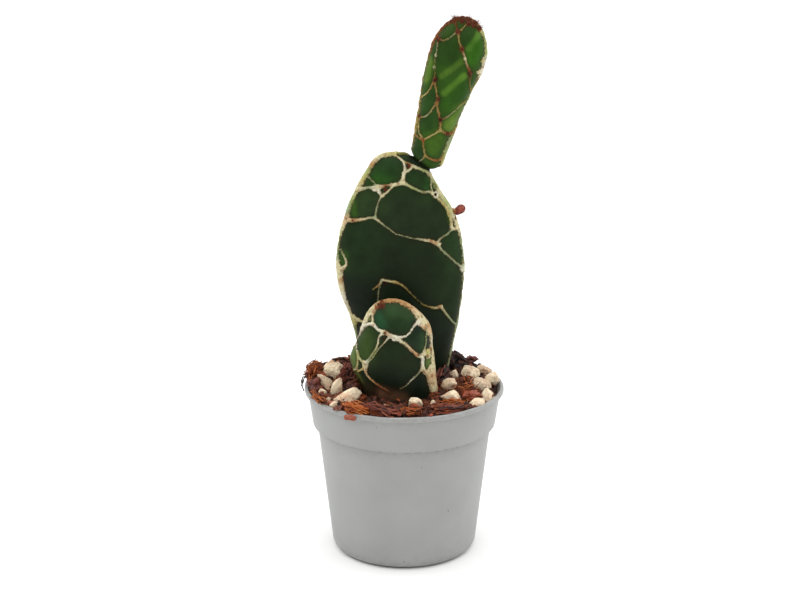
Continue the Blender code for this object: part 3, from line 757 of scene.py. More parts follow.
def blended(at: Array, stops: Array | list, corks: list[Cork] | tuple[Cork, ...]) -> Array:
    """Colours between the tones of cork at the stops, one row for each place."""
    tones = np.array([linear(cork.value) for cork in corks])
    return np.stack([np.interp(at, stops, tones[:, k]) for k in range(3)], 1)


@dataclass
class Stem:
    """A flat stem with an oval section, in its own across and along directions."""

    name: str
    base: Point
    tilt: float
    start: float
    tip: float
    foot: float
    cap: float
    centre: Stations
    width: Stations
    thick: Stations
    skin: str
    knots: dict[str, Place]
    left: list[Margin]
    right: list[Margin]
    front: Face
    back: Face
    mesh_step: float = 0.26
    net_height: float = 0.55
    swell: float = 0.22
    bare_below_z: float = 43.5
    netted_above_z: float = 46.5
    seed: float = 1.0
    gain: Colour = (1.0, 1.0, 1.0)
    foot_slant: float = 0.0  # rise of the foot for each millimetre across
    sharpness: float = 7.0   # per millimetre: how tightly strands keep their own outline where they meet

    def axes(self) -> tuple[Array, Array, Array]:
        """Unit vectors across, along and out of the front face.

        Returns:
            The three vectors.
        """
        lean = math.radians(self.tilt)
        across = np.array([math.cos(lean), 0.0, -math.sin(lean)])
        along = np.array([math.sin(lean), 0.0, math.cos(lean)])
        return across, along, np.array([0.0, -1.0, 0.0])

    def section(self, along: Array) -> tuple[Array, Array, Array]:
        """Middle, half width and half thickness of the section.

        Args:
            along: Places along the stem.

        Returns:
            Three arrays of the same length.
        """
        along = np.asarray(along, float)
        upper = np.clip((along - self.tip + self.cap) / self.cap, 0, 1)
        lower = np.clip((self.start + self.foot - along) / self.foot, 0, 1)
        closing = np.sqrt(1 - upper**2) * np.sqrt(1 - lower**2)
        return (smooth_value(self.centre, along), np.maximum(smooth_value(self.width, along) * closing, 1e-4),
                np.maximum(smooth_value(self.thick, along) * closing, 1e-4))

    def point(self, turn: Array, along: Array, side: Array) -> Array:
        """Points on the plain skin.

        Args:
            turn: Turns from the face's middle line, up to a quarter turn either way.
            along: Places along the stem.
            side: 1 on the front face and -1 on the back.

        Returns:
            Points in millimetres, one row each.
        """
        middle, half, depth = self.section(along)
        across, up, out = self.axes()
        shift = middle + half * np.sin(turn)
        rise = along + self.slant(along) * shift
        return (np.array(self.base, float) + np.multiply.outer(shift, across)
                + np.multiply.outer(rise, up) + (side * depth * np.cos(turn))[:, None] * out)

    def slant(self, along: Array) -> Array:
        """Slope of the rings, which follow the foot's slant and level out above it."""
        return self.foot_slant * smooth_step(9.0, 2.0, along)

    def ring(self, places: Array) -> Array:
        """Which ring each (across, along) place lies on, by its place along the middle line.

        Args:
            places: The places, one row each.

        Returns:
            One place along for each.
        """
        along = places[:, 1]
        for _ in range(5):
            along = places[:, 1] - self.slant(along) * places[:, 0]
        return along

    def girth(self, turn: Array, along: Array) -> Array:
        """Length over the skin from the face's middle line to a turn.

        Args:
            turn: Turns from the middle line.
            along: Places along the stem.

        Returns:
            The lengths.
        """
        _, half, depth = self.section(along)
        turns = np.multiply.outer(turn, np.linspace(0, 1, 17))
        ratio = np.expand_dims(depth / half, -1)
        rate = np.sqrt(np.cos(turns) ** 2 + (ratio * np.sin(turns)) ** 2)
        return half * turn * (rate[..., 1:] + rate[..., :-1]).mean(axis=-1) / 2

    def to_chart(self, places: Array) -> Array:
        """Flatten (across, along) places on a face to (girth, along).

        Args:
            places: One place, or a row for each.

        Returns:
            A row for each.
        """
        places = np.asarray(places, float).reshape(-1, 2)
        along = self.ring(places)
        middle, half, _ = self.section(along)
        turn = np.arcsin(np.clip((places[:, 0] - middle) / half, -1, 1))
        return np.stack([self.girth(turn, along), along], axis=1)

    def rows(self) -> Array:
        """Places along the stem for the mesh's rings: even over its outline, and sparse under the soil.

        Returns:
            The places, in order.
        """
        share = np.linspace(0, math.pi, 4000)
        along = self.start + (self.tip - self.start) * (1 - np.cos(share)) / 2
        quarter = np.full(along.shape, math.pi / 2)
        edge = self.point(quarter, along, np.ones(len(along)))
        lengths = np.concatenate(([0], np.cumsum(np.linalg.norm(np.diff(edge, axis=0), axis=1))))
        steps = np.where(edge[:, 2] < self.bare_below_z - 1, 6.0, 1.0)
        weighed = np.concatenate(([0], np.cumsum(np.diff(lengths) / steps[1:])))
        count = round(weighed[-1] / self.mesh_step)
        return np.interp(np.linspace(0, weighed[-1], count + 1)[1:-1], weighed, along)

    def columns(self) -> Array:
        """Angles round the section, even over the skin of a typical section.

        Returns:
            The angles, in order.
        """
        _, half, depth = self.section(np.array([(self.start + self.tip) / 2]))
        angles = np.linspace(0, math.tau, 2001)
        rim = np.stack([half[0] * np.sin(angles), depth[0] * np.cos(angles)], axis=1)
        lengths = np.concatenate(([0], np.cumsum(np.linalg.norm(np.diff(rim, axis=0), axis=1))))
        count = round(lengths[-1] / self.mesh_step)
        return np.interp(np.linspace(0, lengths[-1], count, endpoint=False), lengths, angles)

    def pulls(self, face: Face, chart: Array, places: Array, gap: Array, rim: Array,
              seed: float) -> list[tuple]:
        """How strongly each strand, web and margin draws points into the net, and its tones there.

        Args:
            face: The face's net.
            chart: (girth, along) of each point.
            places: The same, strayed so that strands run less evenly.
            gap: Distance of each point from the edge over the skin.
            rim: The same distance as seen from the front.
            seed: Shift that picks the noise.

        Returns:
            For each, which points it reaches, their pulls and their tones.
        """
        pulls = []
        for strand in face.strands:
            knots = [self.knots[p] if isinstance(p, str) else p for p in strand.points]
            line = self.to_chart(curve_through(np.array(knots), 6))
            low, high = line.min(axis=0) - 2.4, line.max(axis=0) + 2.4
            near = np.flatnonzero(((places > low) & (places < high)).all(axis=1))
            if not len(near):
                continue
            distance, share = nearest_on_line(line, places[near])
            half = np.interp(share, np.linspace(0, 1, len(strand.width)), strand.width)
            tones = blended(share, np.linspace(0, 1, len(strand.cork)), strand.cork)
            inside = half - distance - 0.7 * np.exp(-gap[near] / 0.45)
            pulls.append((near, np.exp(self.sharpness * inside), tones))
        for web in face.webs:
            distance = np.linalg.norm(places - self.to_chart(web.at), axis=1)
            pull = np.exp(self.sharpness * np.clip(web.radius - distance, -3, None))
            pulls.append((slice(None), pull, linear(web.cork.value)))
        for side, stations in ((-1, self.left), (1, self.right)):
            here = np.flatnonzero(np.sign(chart[:, 0]) * side >= 0)
            at = [station.along for station in stations]
            half = np.interp(chart[here, 1], at, [station.width for station in stations])
            tones = blended(chart[here, 1], at, [station.cork for station in stations])
            ragged = 0.2 * lumps(chart[here], 1.7, seed + 3)
            pull = np.exp(self.sharpness * np.clip(half + ragged - rim[here], -3, None))
            pulls.append((here, pull, tones))
        return pulls

    def face_fields(self, face: Face, chart: Array, gap: Array, rim: Array,
                    seed: float) -> tuple[Array, Array, Array, Array]:
        """How deep in the net each point lies, and the tones of cork and skin there.

        Args:
            face: The face's net and colours.
            chart: (girth, along) of each point.
            gap: Distance of each point from the edge over the skin.
            rim: The same distance as seen from the front.
            seed: Shift that picks the noise.

        Returns:
            Depth inside the net in millimetres, below 0 outside it, the height of the areoles' mounds, and
            the colours of cork and skin.
        """
        wobble = np.stack([lumps(chart, 2.1, seed), lumps(chart, 2.1, seed + 31)], axis=1) * 0.16
        wobble += np.stack([lumps(chart, 0.8, seed + 7), lumps(chart, 0.8, seed + 43)], axis=1) * 0.06
        places = chart + wobble * np.clip(gap / 1.5, 0, 1)[:, None]
        weight = np.full(len(chart), 1e-9)
        tone = np.full((len(chart), 3), linear(Cork.CREAM.value)) * 1e-9
        for near, pull, tones in self.pulls(face, chart, places, gap, rim, seed):
            weight[near] += pull
            tone[near] += pull[:, None] * tones
        inside = np.log(weight) / self.sharpness
        for island in face.islands:
            distance = np.linalg.norm(places - self.to_chart(island.at), axis=1)
            inside = np.minimum(inside, (distance - island.radius) * 1.4)
        cork = tone / weight[:, None]
        skin = self.skin_colours(face, chart, inside, seed)
        mound = np.zeros(len(chart))
        for spot in [*face.spots, *face.islands]:
            distance = np.linalg.norm(places - self.to_chart(spot.at), axis=1)
            share = (spot.strength * smooth_step(1.25, 0.6, distance / spot.radius))[:, None]
            colour = np.array(linear(spot.cork.value))
            cork = cork * (1 - share) + colour * share
            if spot.areole or spot.cork is Cork.DARK or spot in face.islands:
                skin = skin * (1 - share) + colour * share
            if spot.areole:
                rise = min(0.4 * spot.radius, 0.3)
                mound = np.maximum(mound, rise * smooth_step(1.2, 0.2, distance / spot.radius))
        return inside, mound, cork, skin

    def skin_colours(self, face: Face, chart: Array, inside: Array, seed: float) -> Array:
        """Colours of the skin: blended patches, darker and browner where a cell meets the net, partly its own
        brown and partly painted shade.

        Args:
            face: The face's colours.
            chart: (girth, along) of each point.
            inside: How deep in the net each lies.
            seed: Shift that picks the noise.

        Returns:
            A linear colour for each.
        """
        total = np.full(len(chart), 0.06)
        mixed = np.multiply.outer(total, linear(self.skin))
        for patch in face.patches:
            line = self.to_chart([patch.start, patch.end])
            if patch.start == patch.end:
                distance = np.linalg.norm(chart - line[0], axis=1)
            else:
                distance, _ = nearest_on_line(line, chart)
            share = np.exp(-((distance / patch.spread) ** 2))
            total += share
            mixed += np.multiply.outer(share, linear(patch.colour))
        colour = np.array(self.gain) * mixed / total[:, None]
        # Near the net the skin turns dark brown: partly its own colour, partly painted shade beside the raised
        # cork
        rim = np.exp(np.minimum(inside, 0) / 0.4) * (0.35 + 0.25 * lumps(chart, 3.0, seed + 60))
        return colour * (1 - rim[:, None]) + rim[:, None] * np.array(linear("#2b1d0e"))

    def edge_gaps(self, chart: Array, turn: Array, along: Array) -> tuple[Array, Array]:
        """How far each point lies from the stem's edge.

        Args:
            chart: (girth, along) of each point.
            turn: Its turn from the face's middle line.
            along: Its place along the stem.

        Returns:
            The distances over the skin, and those seen from the front.
        """
        share = np.linspace(0, math.pi, 160)
        stations = self.start + (self.tip - self.start) * (1 - np.cos(share)) / 2
        reach = self.girth(np.full(160, math.pi / 2), stations)
        edge = np.concatenate([np.stack([reach, stations], 1), np.stack([-reach, stations], 1)[::-1]])
        gap, _ = nearest_on_line(edge, chart)
        middle, half, _ = self.section(stations)
        seen = np.concatenate([np.stack([middle + half, stations], 1),
                               np.stack([middle - half, stations], 1)[::-1]])
        middle, half, _ = self.section(along)
        rim, _ = nearest_on_line(seen, np.stack([middle + half * np.sin(turn), along], axis=1))
        return gap, rim

    def outward(self, plain: Array, along: Array, rings: int) -> Array:
        """The way out of the skin at each point of the plain mesh.

        Args:
            plain: The points, ring by ring.
            along: The place along the stem of each.
            rings: Number of rings.

        Returns:
            Unit vectors, one row each.
        """
        grid = plain.reshape(rings, -1, 3)
        round_it = np.roll(grid, -1, axis=1) - np.roll(grid, 1, axis=1)
        normal = np.cross(round_it, np.gradient(grid, axis=0)).reshape(-1, 3)
        normal /= np.maximum(np.linalg.norm(normal, axis=1, keepdims=True), 1e-9)
        middle = self.point(np.zeros(len(along)), along, np.zeros(len(along)))
        return normal * np.sign(((plain - middle) * normal).sum(axis=1, keepdims=True))

    def relief(self, plain: Array, inside: Array, mound: Array) -> Array:
        """Height over the plain skin of the net, the swollen cells and the areoles' mounds.

        Args:
            plain: Points of the plain skin.
            inside: How deep in the net each lies.
            mound: The mounds' height at each.

        Returns:
            One height for each.
        """
        rough = 0.09 * lumps(plain, 0.9, self.seed + 5) + 0.05 * lumps(plain, 0.45, self.seed + 9)
        ridge = self.net_height * smooth_step(-0.16, 0.42, inside + 0.6 * rough)
        cushion = self.swell * (1 - np.exp(np.minimum(inside, 0) / 1.6))
        height = np.maximum(ridge * (1 + rough * 1.5), cushion) + mound
        return height * smooth_step(self.bare_below_z, self.netted_above_z, plain[:, 2])

    def build(self, material: Material) -> Object:
        """Build the stem with its net raised and its tones stored.

        Args:
            material: The skin's finish.

        Returns:
            The stem's object.
        """
        rows, columns = self.rows(), self.columns()
        wide, tall = len(columns), len(rows)
        along = np.repeat(rows, wide)
        angles = np.tile(columns, tall)
        side = np.where(np.cos(angles) >= 0, 1.0, -1.0)
        turn = np.arcsin(np.clip(np.sin(angles), -1, 1))
        chart = np.stack([self.girth(turn, along), along], axis=1)
        plain = self.point(turn, along, side)
        gap, rim = self.edge_gaps(chart, turn, along)
        inside, mound = np.empty((2, len(chart)))
        cork, skin = np.empty((2, len(chart), 3))
        for face, sign in ((self.front, 1), (self.back, -1)):
            here = side == sign
            inside[here], mound[here], cork[here], skin[here] = self.face_fields(
                face, chart[here], gap[here], rim[here], self.seed + (0 if sign > 0 else 17))
        height = self.relief(plain, inside, mound)
        skinned = plain + self.outward(plain, along, tall) * height[:, None]

        poles = self.point(np.zeros(2), np.array([self.start, self.tip]), np.zeros(2))
        poles[1] += self.axes()[1] * height[-wide:].mean()
        verts = np.concatenate([skinned, poles])
        faces = ring_faces(tall, wide)
        bottom, top, last = len(skinned), len(skinned) + 1, (tall - 1) * wide
        faces += [((c + 1) % wide, c, bottom) for c in range(wide)]
        faces += [(last + c, last + (c + 1) % wide, top) for c in range(wide)]
        thing = make_object(self.name, verts, faces, material)
        pad = ((0, 2), (0, 0))
        store(thing, "cork", np.concatenate([inside, [-2.0, inside[-wide:].mean()]]))
        store(thing, "cork_tone", np.pad(cork, pad, mode="edge"))
        store(thing, "skin_tone", np.pad(skin, pad, mode="edge"))
        return face_outwards(thing)

    def place(self, at: Place, front: bool = True) -> tuple[Array, Array]:
        """A point on the net's crest and the way out of the skin there.

        Args:
            at: (across, along) place on a face.
            front: Whether it is on the front face.

        Returns:
            The point in millimetres and the unit normal.
        """
        along = self.ring(np.array([at], float))
        middle, half, _ = self.section(along)
        turn = np.arcsin(np.clip((at[0] - middle) / half, -1, 1))
        sign = np.array([1.0 if front else -1.0])
        here = self.point(turn, along, sign)[0]
        across = self.point(np.clip(turn + 0.02, -1.6, 1.6), along, sign)[0] - here
        up = self.point(turn, along + 0.05, sign)[0] - here
        normal = np.cross(across, up)
        normal /= np.linalg.norm(normal)
        core = self.point(np.zeros(1), along, np.zeros(1))[0]
        normal *= math.copysign(1.0, float((here - core) @ normal))
        return here + normal * self.net_height * 0.8, normal


TONES = dict(zip("WCYOGLSTRBDN", Cork))     # a letter for each tone, which the rows below use


def strands(*rows: tuple) -> list[Strand]:
    """Strands from rows of points, half widths and tones."""
    return [Strand(points, widths, tuple(TONES[tone] for tone in tones)) for points, widths, tones in rows]


def margin(*rows: tuple) -> list[Margin]:
    """Stations of a margin from rows of place, half width and tone."""
    return [Margin(along, width, TONES[tone]) for along, width, tone in rows]


def spots(*rows: tuple) -> list[Spot]:
    """Spots from rows of across, along, radius, tone and any strength under 1."""
    return [Spot(row[:2], row[2], TONES[row[3]], *row[4:]) for row in rows]


def patches(*rows: tuple) -> list[Patch]:
    """Patches from rows of one place or of a streak's two ends, then spread and colour."""
    return [Patch(row[:2], row[-4:-2], *row[-2:]) for row in rows]


MAIN_FRONT = Face(
    strands=strands(
        (("crown", "eye"), (0.6, 0.4), "CCW"),
        (("eye", (0.1, 71), (-0.4, 72.6), (-2.4, 74.2)), (0.36, 0.32, 0.48), "CWY"),
        (("eye", (1.5, 70.6), (2.4, 71.25), (5.1, 70.1), (7.2, 69)), (0.32, 0.38, 0.36, 0.36), "CCLC"),
        (((-0.4, 72.6), (1.3, 72.1), "brow"), (0.28, 0.28, 0.4), "YTC"),
        (("shoulder", (7.2, 67.6), (7.2, 65.6), "ring"), (0.24,), "GGC"),
        (("ring", (6.6, 64.3), (4.6, 64.6), (1.9, 65.8), "crown"), (0.32, 0.32, 0.34, 0.48), "CGLC"),
        (("ring", (9.4, 62), (11.3, 59.7), (12.4, 57.2), "bend"), (0.32, 0.36, 0.44, 0.48), "CYYC"),
        (("bend", (15, 53.6)), (0.4,), "C"),
        (("bend", (11.8, 52.8), (10.2, 51.8), "hub"), (0.24,), "GGC"),
        (("hub", (10.5, 48.1), (12.9, 45.6), (14.6, 44), (16.2, 42.2)),
         (0.36, 0.3, 0.26, 0.3, 0.56), "CGGGW"),
        (("hub", (6.8, 51.1), (3.2, 51.7), (-1, 52.7), (-3.2, 53.8), (-5.8, 55.8), "fork"),
         (0.48, 0.4, 0.19, 0.19, 0.19, 0.21, 0.34), "TCGGGGC"),
        (("fork", (-9.5, 57.3), (-11.6, 56.8), (-13.7, 56.4), (-15.8, 56.4)),
         (0.34, 0.32, 0.48, 0.72), "GCTC"),
        (("fork", (-7.5, 59.6), (-6.9, 61.8), "under"), (0.27, 0.27, 0.16, 0.24), "GGGC"),
        (("crown", "web"), (0.56, 0.44), "C"),
        (("web", (-4.8, 66.4), "left"), (0.4, 0.28, 0.72), "CRC"),
        (("web", (-4.2, 64.9), "under"), (0.32, 0.27, 0.4), "C"),
        (("left", (-6.8, 64.6), "under"), (0.72, 0.48, 0.4), "CWC"),
        (("left", (-9.4, 65.6), (-11.9, 64.8)), (0.48, 0.34, 0.48), "CGC"),
        (("left", (-8.4, 67.3), (-9.7, 68.4)), (0.24,), "G"),
        (((-17.2, 48), (-16.1, 45.6), (-15.8, 44), (-17.4, 42.2)), (0.24, 0.28, 0.4, 0.64), "GCC"),
        (("knee", (-3.7, 39.8), (-0.6, 38.8), (2.4, 35.9), (5.4, 33.1), (8.2, 32.2), "heel"),
         (0.36, 0.4, 0.28, 0.18, 0.18, 0.26, 0.48), "CYSOOSC"),
        (("heel", (10.9, 31.1), (12.1, 29.3), (14.4, 26.4)), (0.4, 0.34, 0.3), "CGG"),
        (("knee", (-7, 38.6), (-8.4, 37.6)), (0.28, 0.24), "GTO"),
        (("knee", (-6.7, 38), (-7.1, 34.8), (-8, 31), "low"), (0.16,), "G"),
        (("low", (-11.8, 28), (-14.6, 29.6)), (0.32, 0.64), "YC"),
        (("low", (-5, 26.4), "mid", (3.5, 23), (6, 18), (7, 12.5)), (0.24,), "CG"),
        (("mid", (-2.5, 20), (-3.5, 14)), (0.24,), "G"),
    ),
    webs=spots(
        (-8, 65.4, 0.8, "W"), (8.5, 63.4, 0.85, "W"), (9.6, 50.1, 0.5, "C"), (-17.6, 41.5, 0.8, "C"),
        (7.1, 69.1, 0.5, "C"),
    ),
    islands=spots(
        (-5.1, 65.3, 0.55, "B"), (8.45, 63.4, 0.4, "D"), (8.2, 65.6, 0.6, "O"), (-16.6, 40.2, 0.3, "B"),
    ),
    # The dark spot just under the knee strand is partly the skin's own brown and partly painted shade below
    # the raised strand
    spots=spots(
        (1.25, 71.4, 0.6, "B"), (-13.7, 56.4, 0.35, "B"), (-9.5, 71.6, 0.7, "T", 0.6),
        (-15.4, 56.5, 0.4, "B", 0.8), (7.2, 51.1, 0.5, "R", 0.7), (-2, 39.2, 0.7, "R", 0.5),
        (9.4, 32.6, 0.8, "T", 0.8), (-12.4, 55, 0.9, "B", 0.5), (-5.2, 39.2, 0.6, "D", 0.8),
        (-17.1, 39.2, 0.9, "T", 0.7),
    ),
    # Painted light among the patches: the pale green streaks at the left and right edges and the lighter right
    # flank are painted sheen, and the dark patches low on the face are painted shade, darker towards the soil
    patches=patches(
        (-5, 70, 4, "#2f4a28"), (-7.6, 68, -4.8, 67.6, 1.6, "#33641f"), (3.6, 67.6, 3.4, "#2b4527"),
        (6.4, 67.2, 6.4, 65.6, 1.2, "#32602a"), (-10.4, 61, 4.2, "#34472b"),
        (-13.8, 61.6, -13.4, 58.4, 0.9, "#46701f"), (2.5, 59, 7, "#2c3a25"),
        (11.6, 60, 12.6, 56, 0.6, "#3c6321"), (-12, 50, 6, "#22361d"), (0, 46, 0, 42, 8, "#1d2919"),
        (13.2, 49, 14, 46, 3, "#30472a"), (11, 38, 12.5, 33.5, 4.5, "#27381f"),
        (-12.5, 36, -12, 32, 4.5, "#182419"), (2, 33, 9, 24, 5, "#1c281c"),
        (-16.6, 46.5, -16.8, 44, 1.2, "#3f6a24"), (0, 20, 0, 12, 9, "#131c15"),
        # A painted shadow: the near-black streak in the crease under the top stem's foot
        (2.2, 73.4, 7.2, 70, 0.8, "#0f180f"),
    ),
)

MAIN_BACK = Face(
    strands=strands(
        (((-3.5, 74.3), (-1, 69.5), "b1"), (0.4, 0.28, 0.4), "CGC"),
        (("b1", (-3, 62.5), "b2"), (0.4, 0.24, 0.36), "CGT"),
        (("b1", (5, 61.5), "b3"), (0.4, 0.24, 0.4), "CLC"),
        (("b2", (-9.5, 61), (-13.8, 60.5)), (0.36, 0.28, 0.64), "TGC"),
        (("b3", (10.5, 59), (13.8, 58.5)), (0.4, 0.32, 0.64), "CYC"),
        (("b2", (-4.5, 54), "b4"), (0.36, 0.19, 0.44), "TGC"),
        (("b3", (4, 52.5), "b4"), (0.4, 0.21, 0.44), "CGC"),
        (("b3", (9.5, 51), "b5"), (0.4, 0.22, 0.36), "CGT"),
        (("b5", (12.5, 46), (16.4, 47.5)), (0.36, 0.24, 0.64), "TGW"),
        (("b4", (-5.5, 46), "b6"), (0.44, 0.21, 0.4), "CGC"),
        (("b6", (-12.5, 46.5), (-17.8, 48)), (0.4, 0.24, 0.72), "CGW"),
        (("b4", (1.5, 43), "b7"), (0.44, 0.2, 0.4), "CGT"),
        (("b5", (6, 40), "b7"), (0.36, 0.22, 0.4), "TGT"),
        (("b6", (-8.5, 37), (-7.5, 32), "b9"), (0.4, 0.19, 0.32), "CGG"),
        (("b7", (-3, 32.5), "b9"), (0.4, 0.18, 0.32), "TGC"),
        (("b7", (5.5, 32.5), "b8"), (0.4, 0.2, 0.36), "TGC"),
        (("b8", (11.5, 28), (14.6, 30)), (0.36, 0.24, 0.56), "CGC"),
        (("b9", (-10, 25.5), (-13.4, 22)), (0.32, 0.24, 0.48), "COC"),
        (("b8", (4, 21), (2, 14)), (0.32, 0.2), "CG"),
        (("b9", (-5, 20), (-6.5, 14)), (0.32, 0.2), "CG"),
    ),
    spots=spots(
        (1.5, 64.2, 0.6, "B"), (-6, 59.2, 0.6, "B"), (-0.5, 49.7, 0.7, "B"), (9, 45.2, 0.6, "B"),
        (1, 37.2, 0.7, "B"), (-9, 44.2, 0.5, "R"), (8, 27.2, 0.6, "R"),
    ),
    # The dark patches low on the face are painted shade, darker towards the soil
    patches=patches(
        (0, 69, 5, "#304a29"), (0, 57, 8, "#2b3c25"), (-12, 52, -12, 40, 5, "#29401f"),
        (12, 50, 12, 38, 5, "#2d4524"), (0, 42, 0, 28, 8, "#1f2d1b"), (0, 16, 8, "#141e16"),
    ),
)

MAIN = Stem(
    name="main_stem", base=(0.0, 6.0, 36.0), tilt=0.0, start=0.0, tip=74.4, foot=6.0, cap=11.0,
    skin="#263620", seed=2.3, gain=(0.58, 0.65, 0.47),
    centre=[
        (0, 0.5), (22, 0.4), (29, 0.2), (36, -0.7), (49, -1.1), (57, -1.1), (65, -1.8), (69, -1.7),
        (70.2, -1.3), (72.4, -1.7), (74.4, -2.2),
    ],
    width=[
        (0, 8), (8, 10.2), (22, 13.1), (29, 14.7), (36, 16.5), (42.5, 17.1), (49, 16.7), (56, 15),
        (60, 13.4), (65, 10.8), (69, 9.9), (70.2, 10.4), (72.4, 11), (74.4, 13),
    ],
    thick=[(0, 3.6), (14, 4.7), (30, 4.6), (50, 4), (65, 3.4), (74.4, 3)],
    knots={
        "crown": (-0.5, 67.2), "eye": (0, 69.6), "brow": (2.9, 71.1), "shoulder": (6.3, 69.4),
        "web": (-2.6, 66.5), "left": (-7.2, 65.8), "under": (-5.9, 63.5), "ring": (7.8, 63.6),
        "fork": (-7.9, 57.3), "bend": (12.9, 54), "hub": (8.7, 50.3), "knee": (-5.8, 40.3),
        "heel": (10, 32.4), "low": (-9.5, 28.4), "mid": (-1, 25), "b1": (1.5, 64), "b2": (-6, 59),
        "b3": (7.5, 57), "b4": (-0.5, 49.5), "b5": (9, 45), "b6": (-9, 44), "b7": (1, 37), "b8": (8, 27),
        "b9": (-6, 28),
    },
    left=margin(
        (8, 0.2, "G"), (25, 0.3, "G"), (28, 1.4, "Y"), (30, 0.6, "C"), (35, 0.8, "W"), (37, 1.2, "C"),
        (42, 1.2, "C"), (44, 0.7, "C"), (46, 0.2, "G"), (51, 0.2, "L"), (54, 0.5, "C"), (56.5, 1, "N"),
        (58.5, 0.5, "G"), (62, 0.4, "L"), (65, 0.7, "C"), (67, 0.7, "Y"), (70, 0.5, "L"), (71.5, 0.7, "T"),
        (73, 0.5, "C"), (74.4, 0.6, "Y"),
    ),
    right=margin(
        (8, 0.1, "G"), (26, 0.3, "G"), (30, 0.1, "G"), (41, 0.15, "G"), (42.3, 0.8, "W"), (44, 0.2, "G"),
        (51, 0.2, "G"), (54, 0.6, "C"), (57, 0.65, "C"), (61, 0.65, "L"), (64, 0.55, "C"), (66, 0.3, "L"),
        (69, 0.5, "C"), (70, -0.5, "O"), (73.7, -0.5, "O"), (74.2, 0.4, "O"), (74.4, 0.6, "Y"),
    ),
    front=MAIN_FRONT, back=MAIN_BACK,
)

TOP_FRONT = Face(
    strands=strands(
        (("A", (-3, 36.6), (-1.6, 37.8), "T"), (0.25, 0.14, 0.14, 0.25), "RSGS"),
        (("T", (-0.9, 41.2), (-1.3, 42.6)), (0.25,), "BR"),
        (("T", (1.1, 40.8), (2.2, 43)), (0.18, 0.22), "SSR"),
        (("T", (0.9, 37.2), (2.3, 35), (3.8, 32.5), (5.5, 30), (6.1, 27.4), (7, 25)),
         (0.25, 0.22, 0.29, 0.22, 0.25, 0.29, 0.25, 0.29), "SSRCRBOS"),
        (("A", (-4.3, 34.4), (-4.2, 31.8), (-3.8, 28.8), "B"),
         (0.25, 0.22, 0.14, 0.16, 0.14, 0.25), "RGGOOR"),
        (("B", (-3.6, 23.5), (-4.4, 21.6), (-5.5, 20)), (0.27, 0.22, 0.24), "RSYS"),
        (("B", (-2, 23.3), "C"), (0.3, 0.24, 0.29), "RSR"),
        (("C", (-0.6, 18.6), "D"), (0.29, 0.29, 0.29), "RSR"),
        (("C", (-1.8, 18.4), (-3.2, 15.8), "E"), (0.26, 0.22, 0.22), "RSGS"),
        (("D", (2.2, 16.9), (3.8, 18.8), (6.2, 22)), (0.24, 0.17, 0.19, 0.22), "RGLS"),
        (("D", "F"), (0.29, 0.32), "RS"), (("F", (3.3, 12.4), (5.1, 13)), (0.29, 0.26, 0.36), "SRR"),
        (("F", (0, 11.7), "G"), (0.27, 0.22, 0.26), "SYS"), (("G", (-4.6, 9.8)), (0.29,), "SR"),
        (("E", (-3.9, 11.4), "G"), (0.26, 0.22, 0.26), "SYS"),
        (("G", (-1.6, 7.2), "N"), (0.26, 0.26, 0.26), "RSS"),
        (("N", (1.1, 4.7), (2.8, 4.8), (4.2, 6)), (0.29, 0.29, 0.29), "SRS"),
        (("N", (-1.4, 4.2), (-2.2, 2.6)), (0.19, 0.14), "SGW"),
    ),
    webs=spots(
        (-4.2, 32.3, 0.35, "C"), (-3.9, 29.1, 0.42, "G"), (3.3, 33.3, 0.4, "C"), (5.8, 41, 0.4, "C"),
        (8, 33.5, 0.5, "Y"), (7.8, 30.3, 0.6, "C"),
    ),
    spots=spots(
        (-4.4, 36.6, 0.8, "B"), (0, 39.6, 0.75, "B"), (2, 35.6, 0.7, "B"), (5.6, 29.8, 0.85, "D"),
        (-2.9, 26.2, 0.75, "D"), (-1.1, 21.2, 0.65, "D"), (0.8, 16, 0.65, "D"), (-4.6, 15.2, 0.6, "B"),
        (3.4, 12.5, 0.6, "B"), (-2.4, 9.4, 0.6, "R"), (-1.4, 42, 0.8, "B"), (0.4, 42.4, 0.8, "B"),
        (2.2, 42.3, 0.9, "B"), (3.8, 42.1, 0.9, "B"), (5.2, 41.2, 0.7, "B"),
    ),
    # The narrow pale green streaks among these patches are painted highlights
    patches=patches(
        (0.3, 23.2, 4.1, 28.6, 0.6, "#5f8a38"), (-1.5, 27.5, 2.6, 32.4, 0.5, "#4f7230"),
        (3.9, 36, 5.6, 40.6, 0.6, "#5f8c42"), (-2, 33.5, -1, 35.5, 2, "#2c4a20"),
        (-3.4, 39, 1.6, "#3a5728"), (2.5, 39, 1.4, "#2f4e28"), (-5.6, 30, -5.4, 26, 1, "#5f8234"),
        (3.2, 24.5, 2.6, 20, 2, "#2f5a16"), (5.2, 34, 5, 37, 1.3, "#3a701c"),
        (-2.8, 21, -2.6, 14, 1.4, "#2c5024"), (0, 8.5, 0.5, 10.5, 1.6, "#4a7028"),
        (4, 15, 5, 19, 1.4, "#66883c"), (-3, 6, 1.8, "#264526"), (1, 3.6, 3, 3.4, 1.2, "#33551c"),
        # A painted shadow: the near-black streak at the foot, in the crease where the top stem sits on the
        # main one
        (-4.8, 4.1, 2.2, 1.5, 0.5, "#0d150c"),
    ),
)

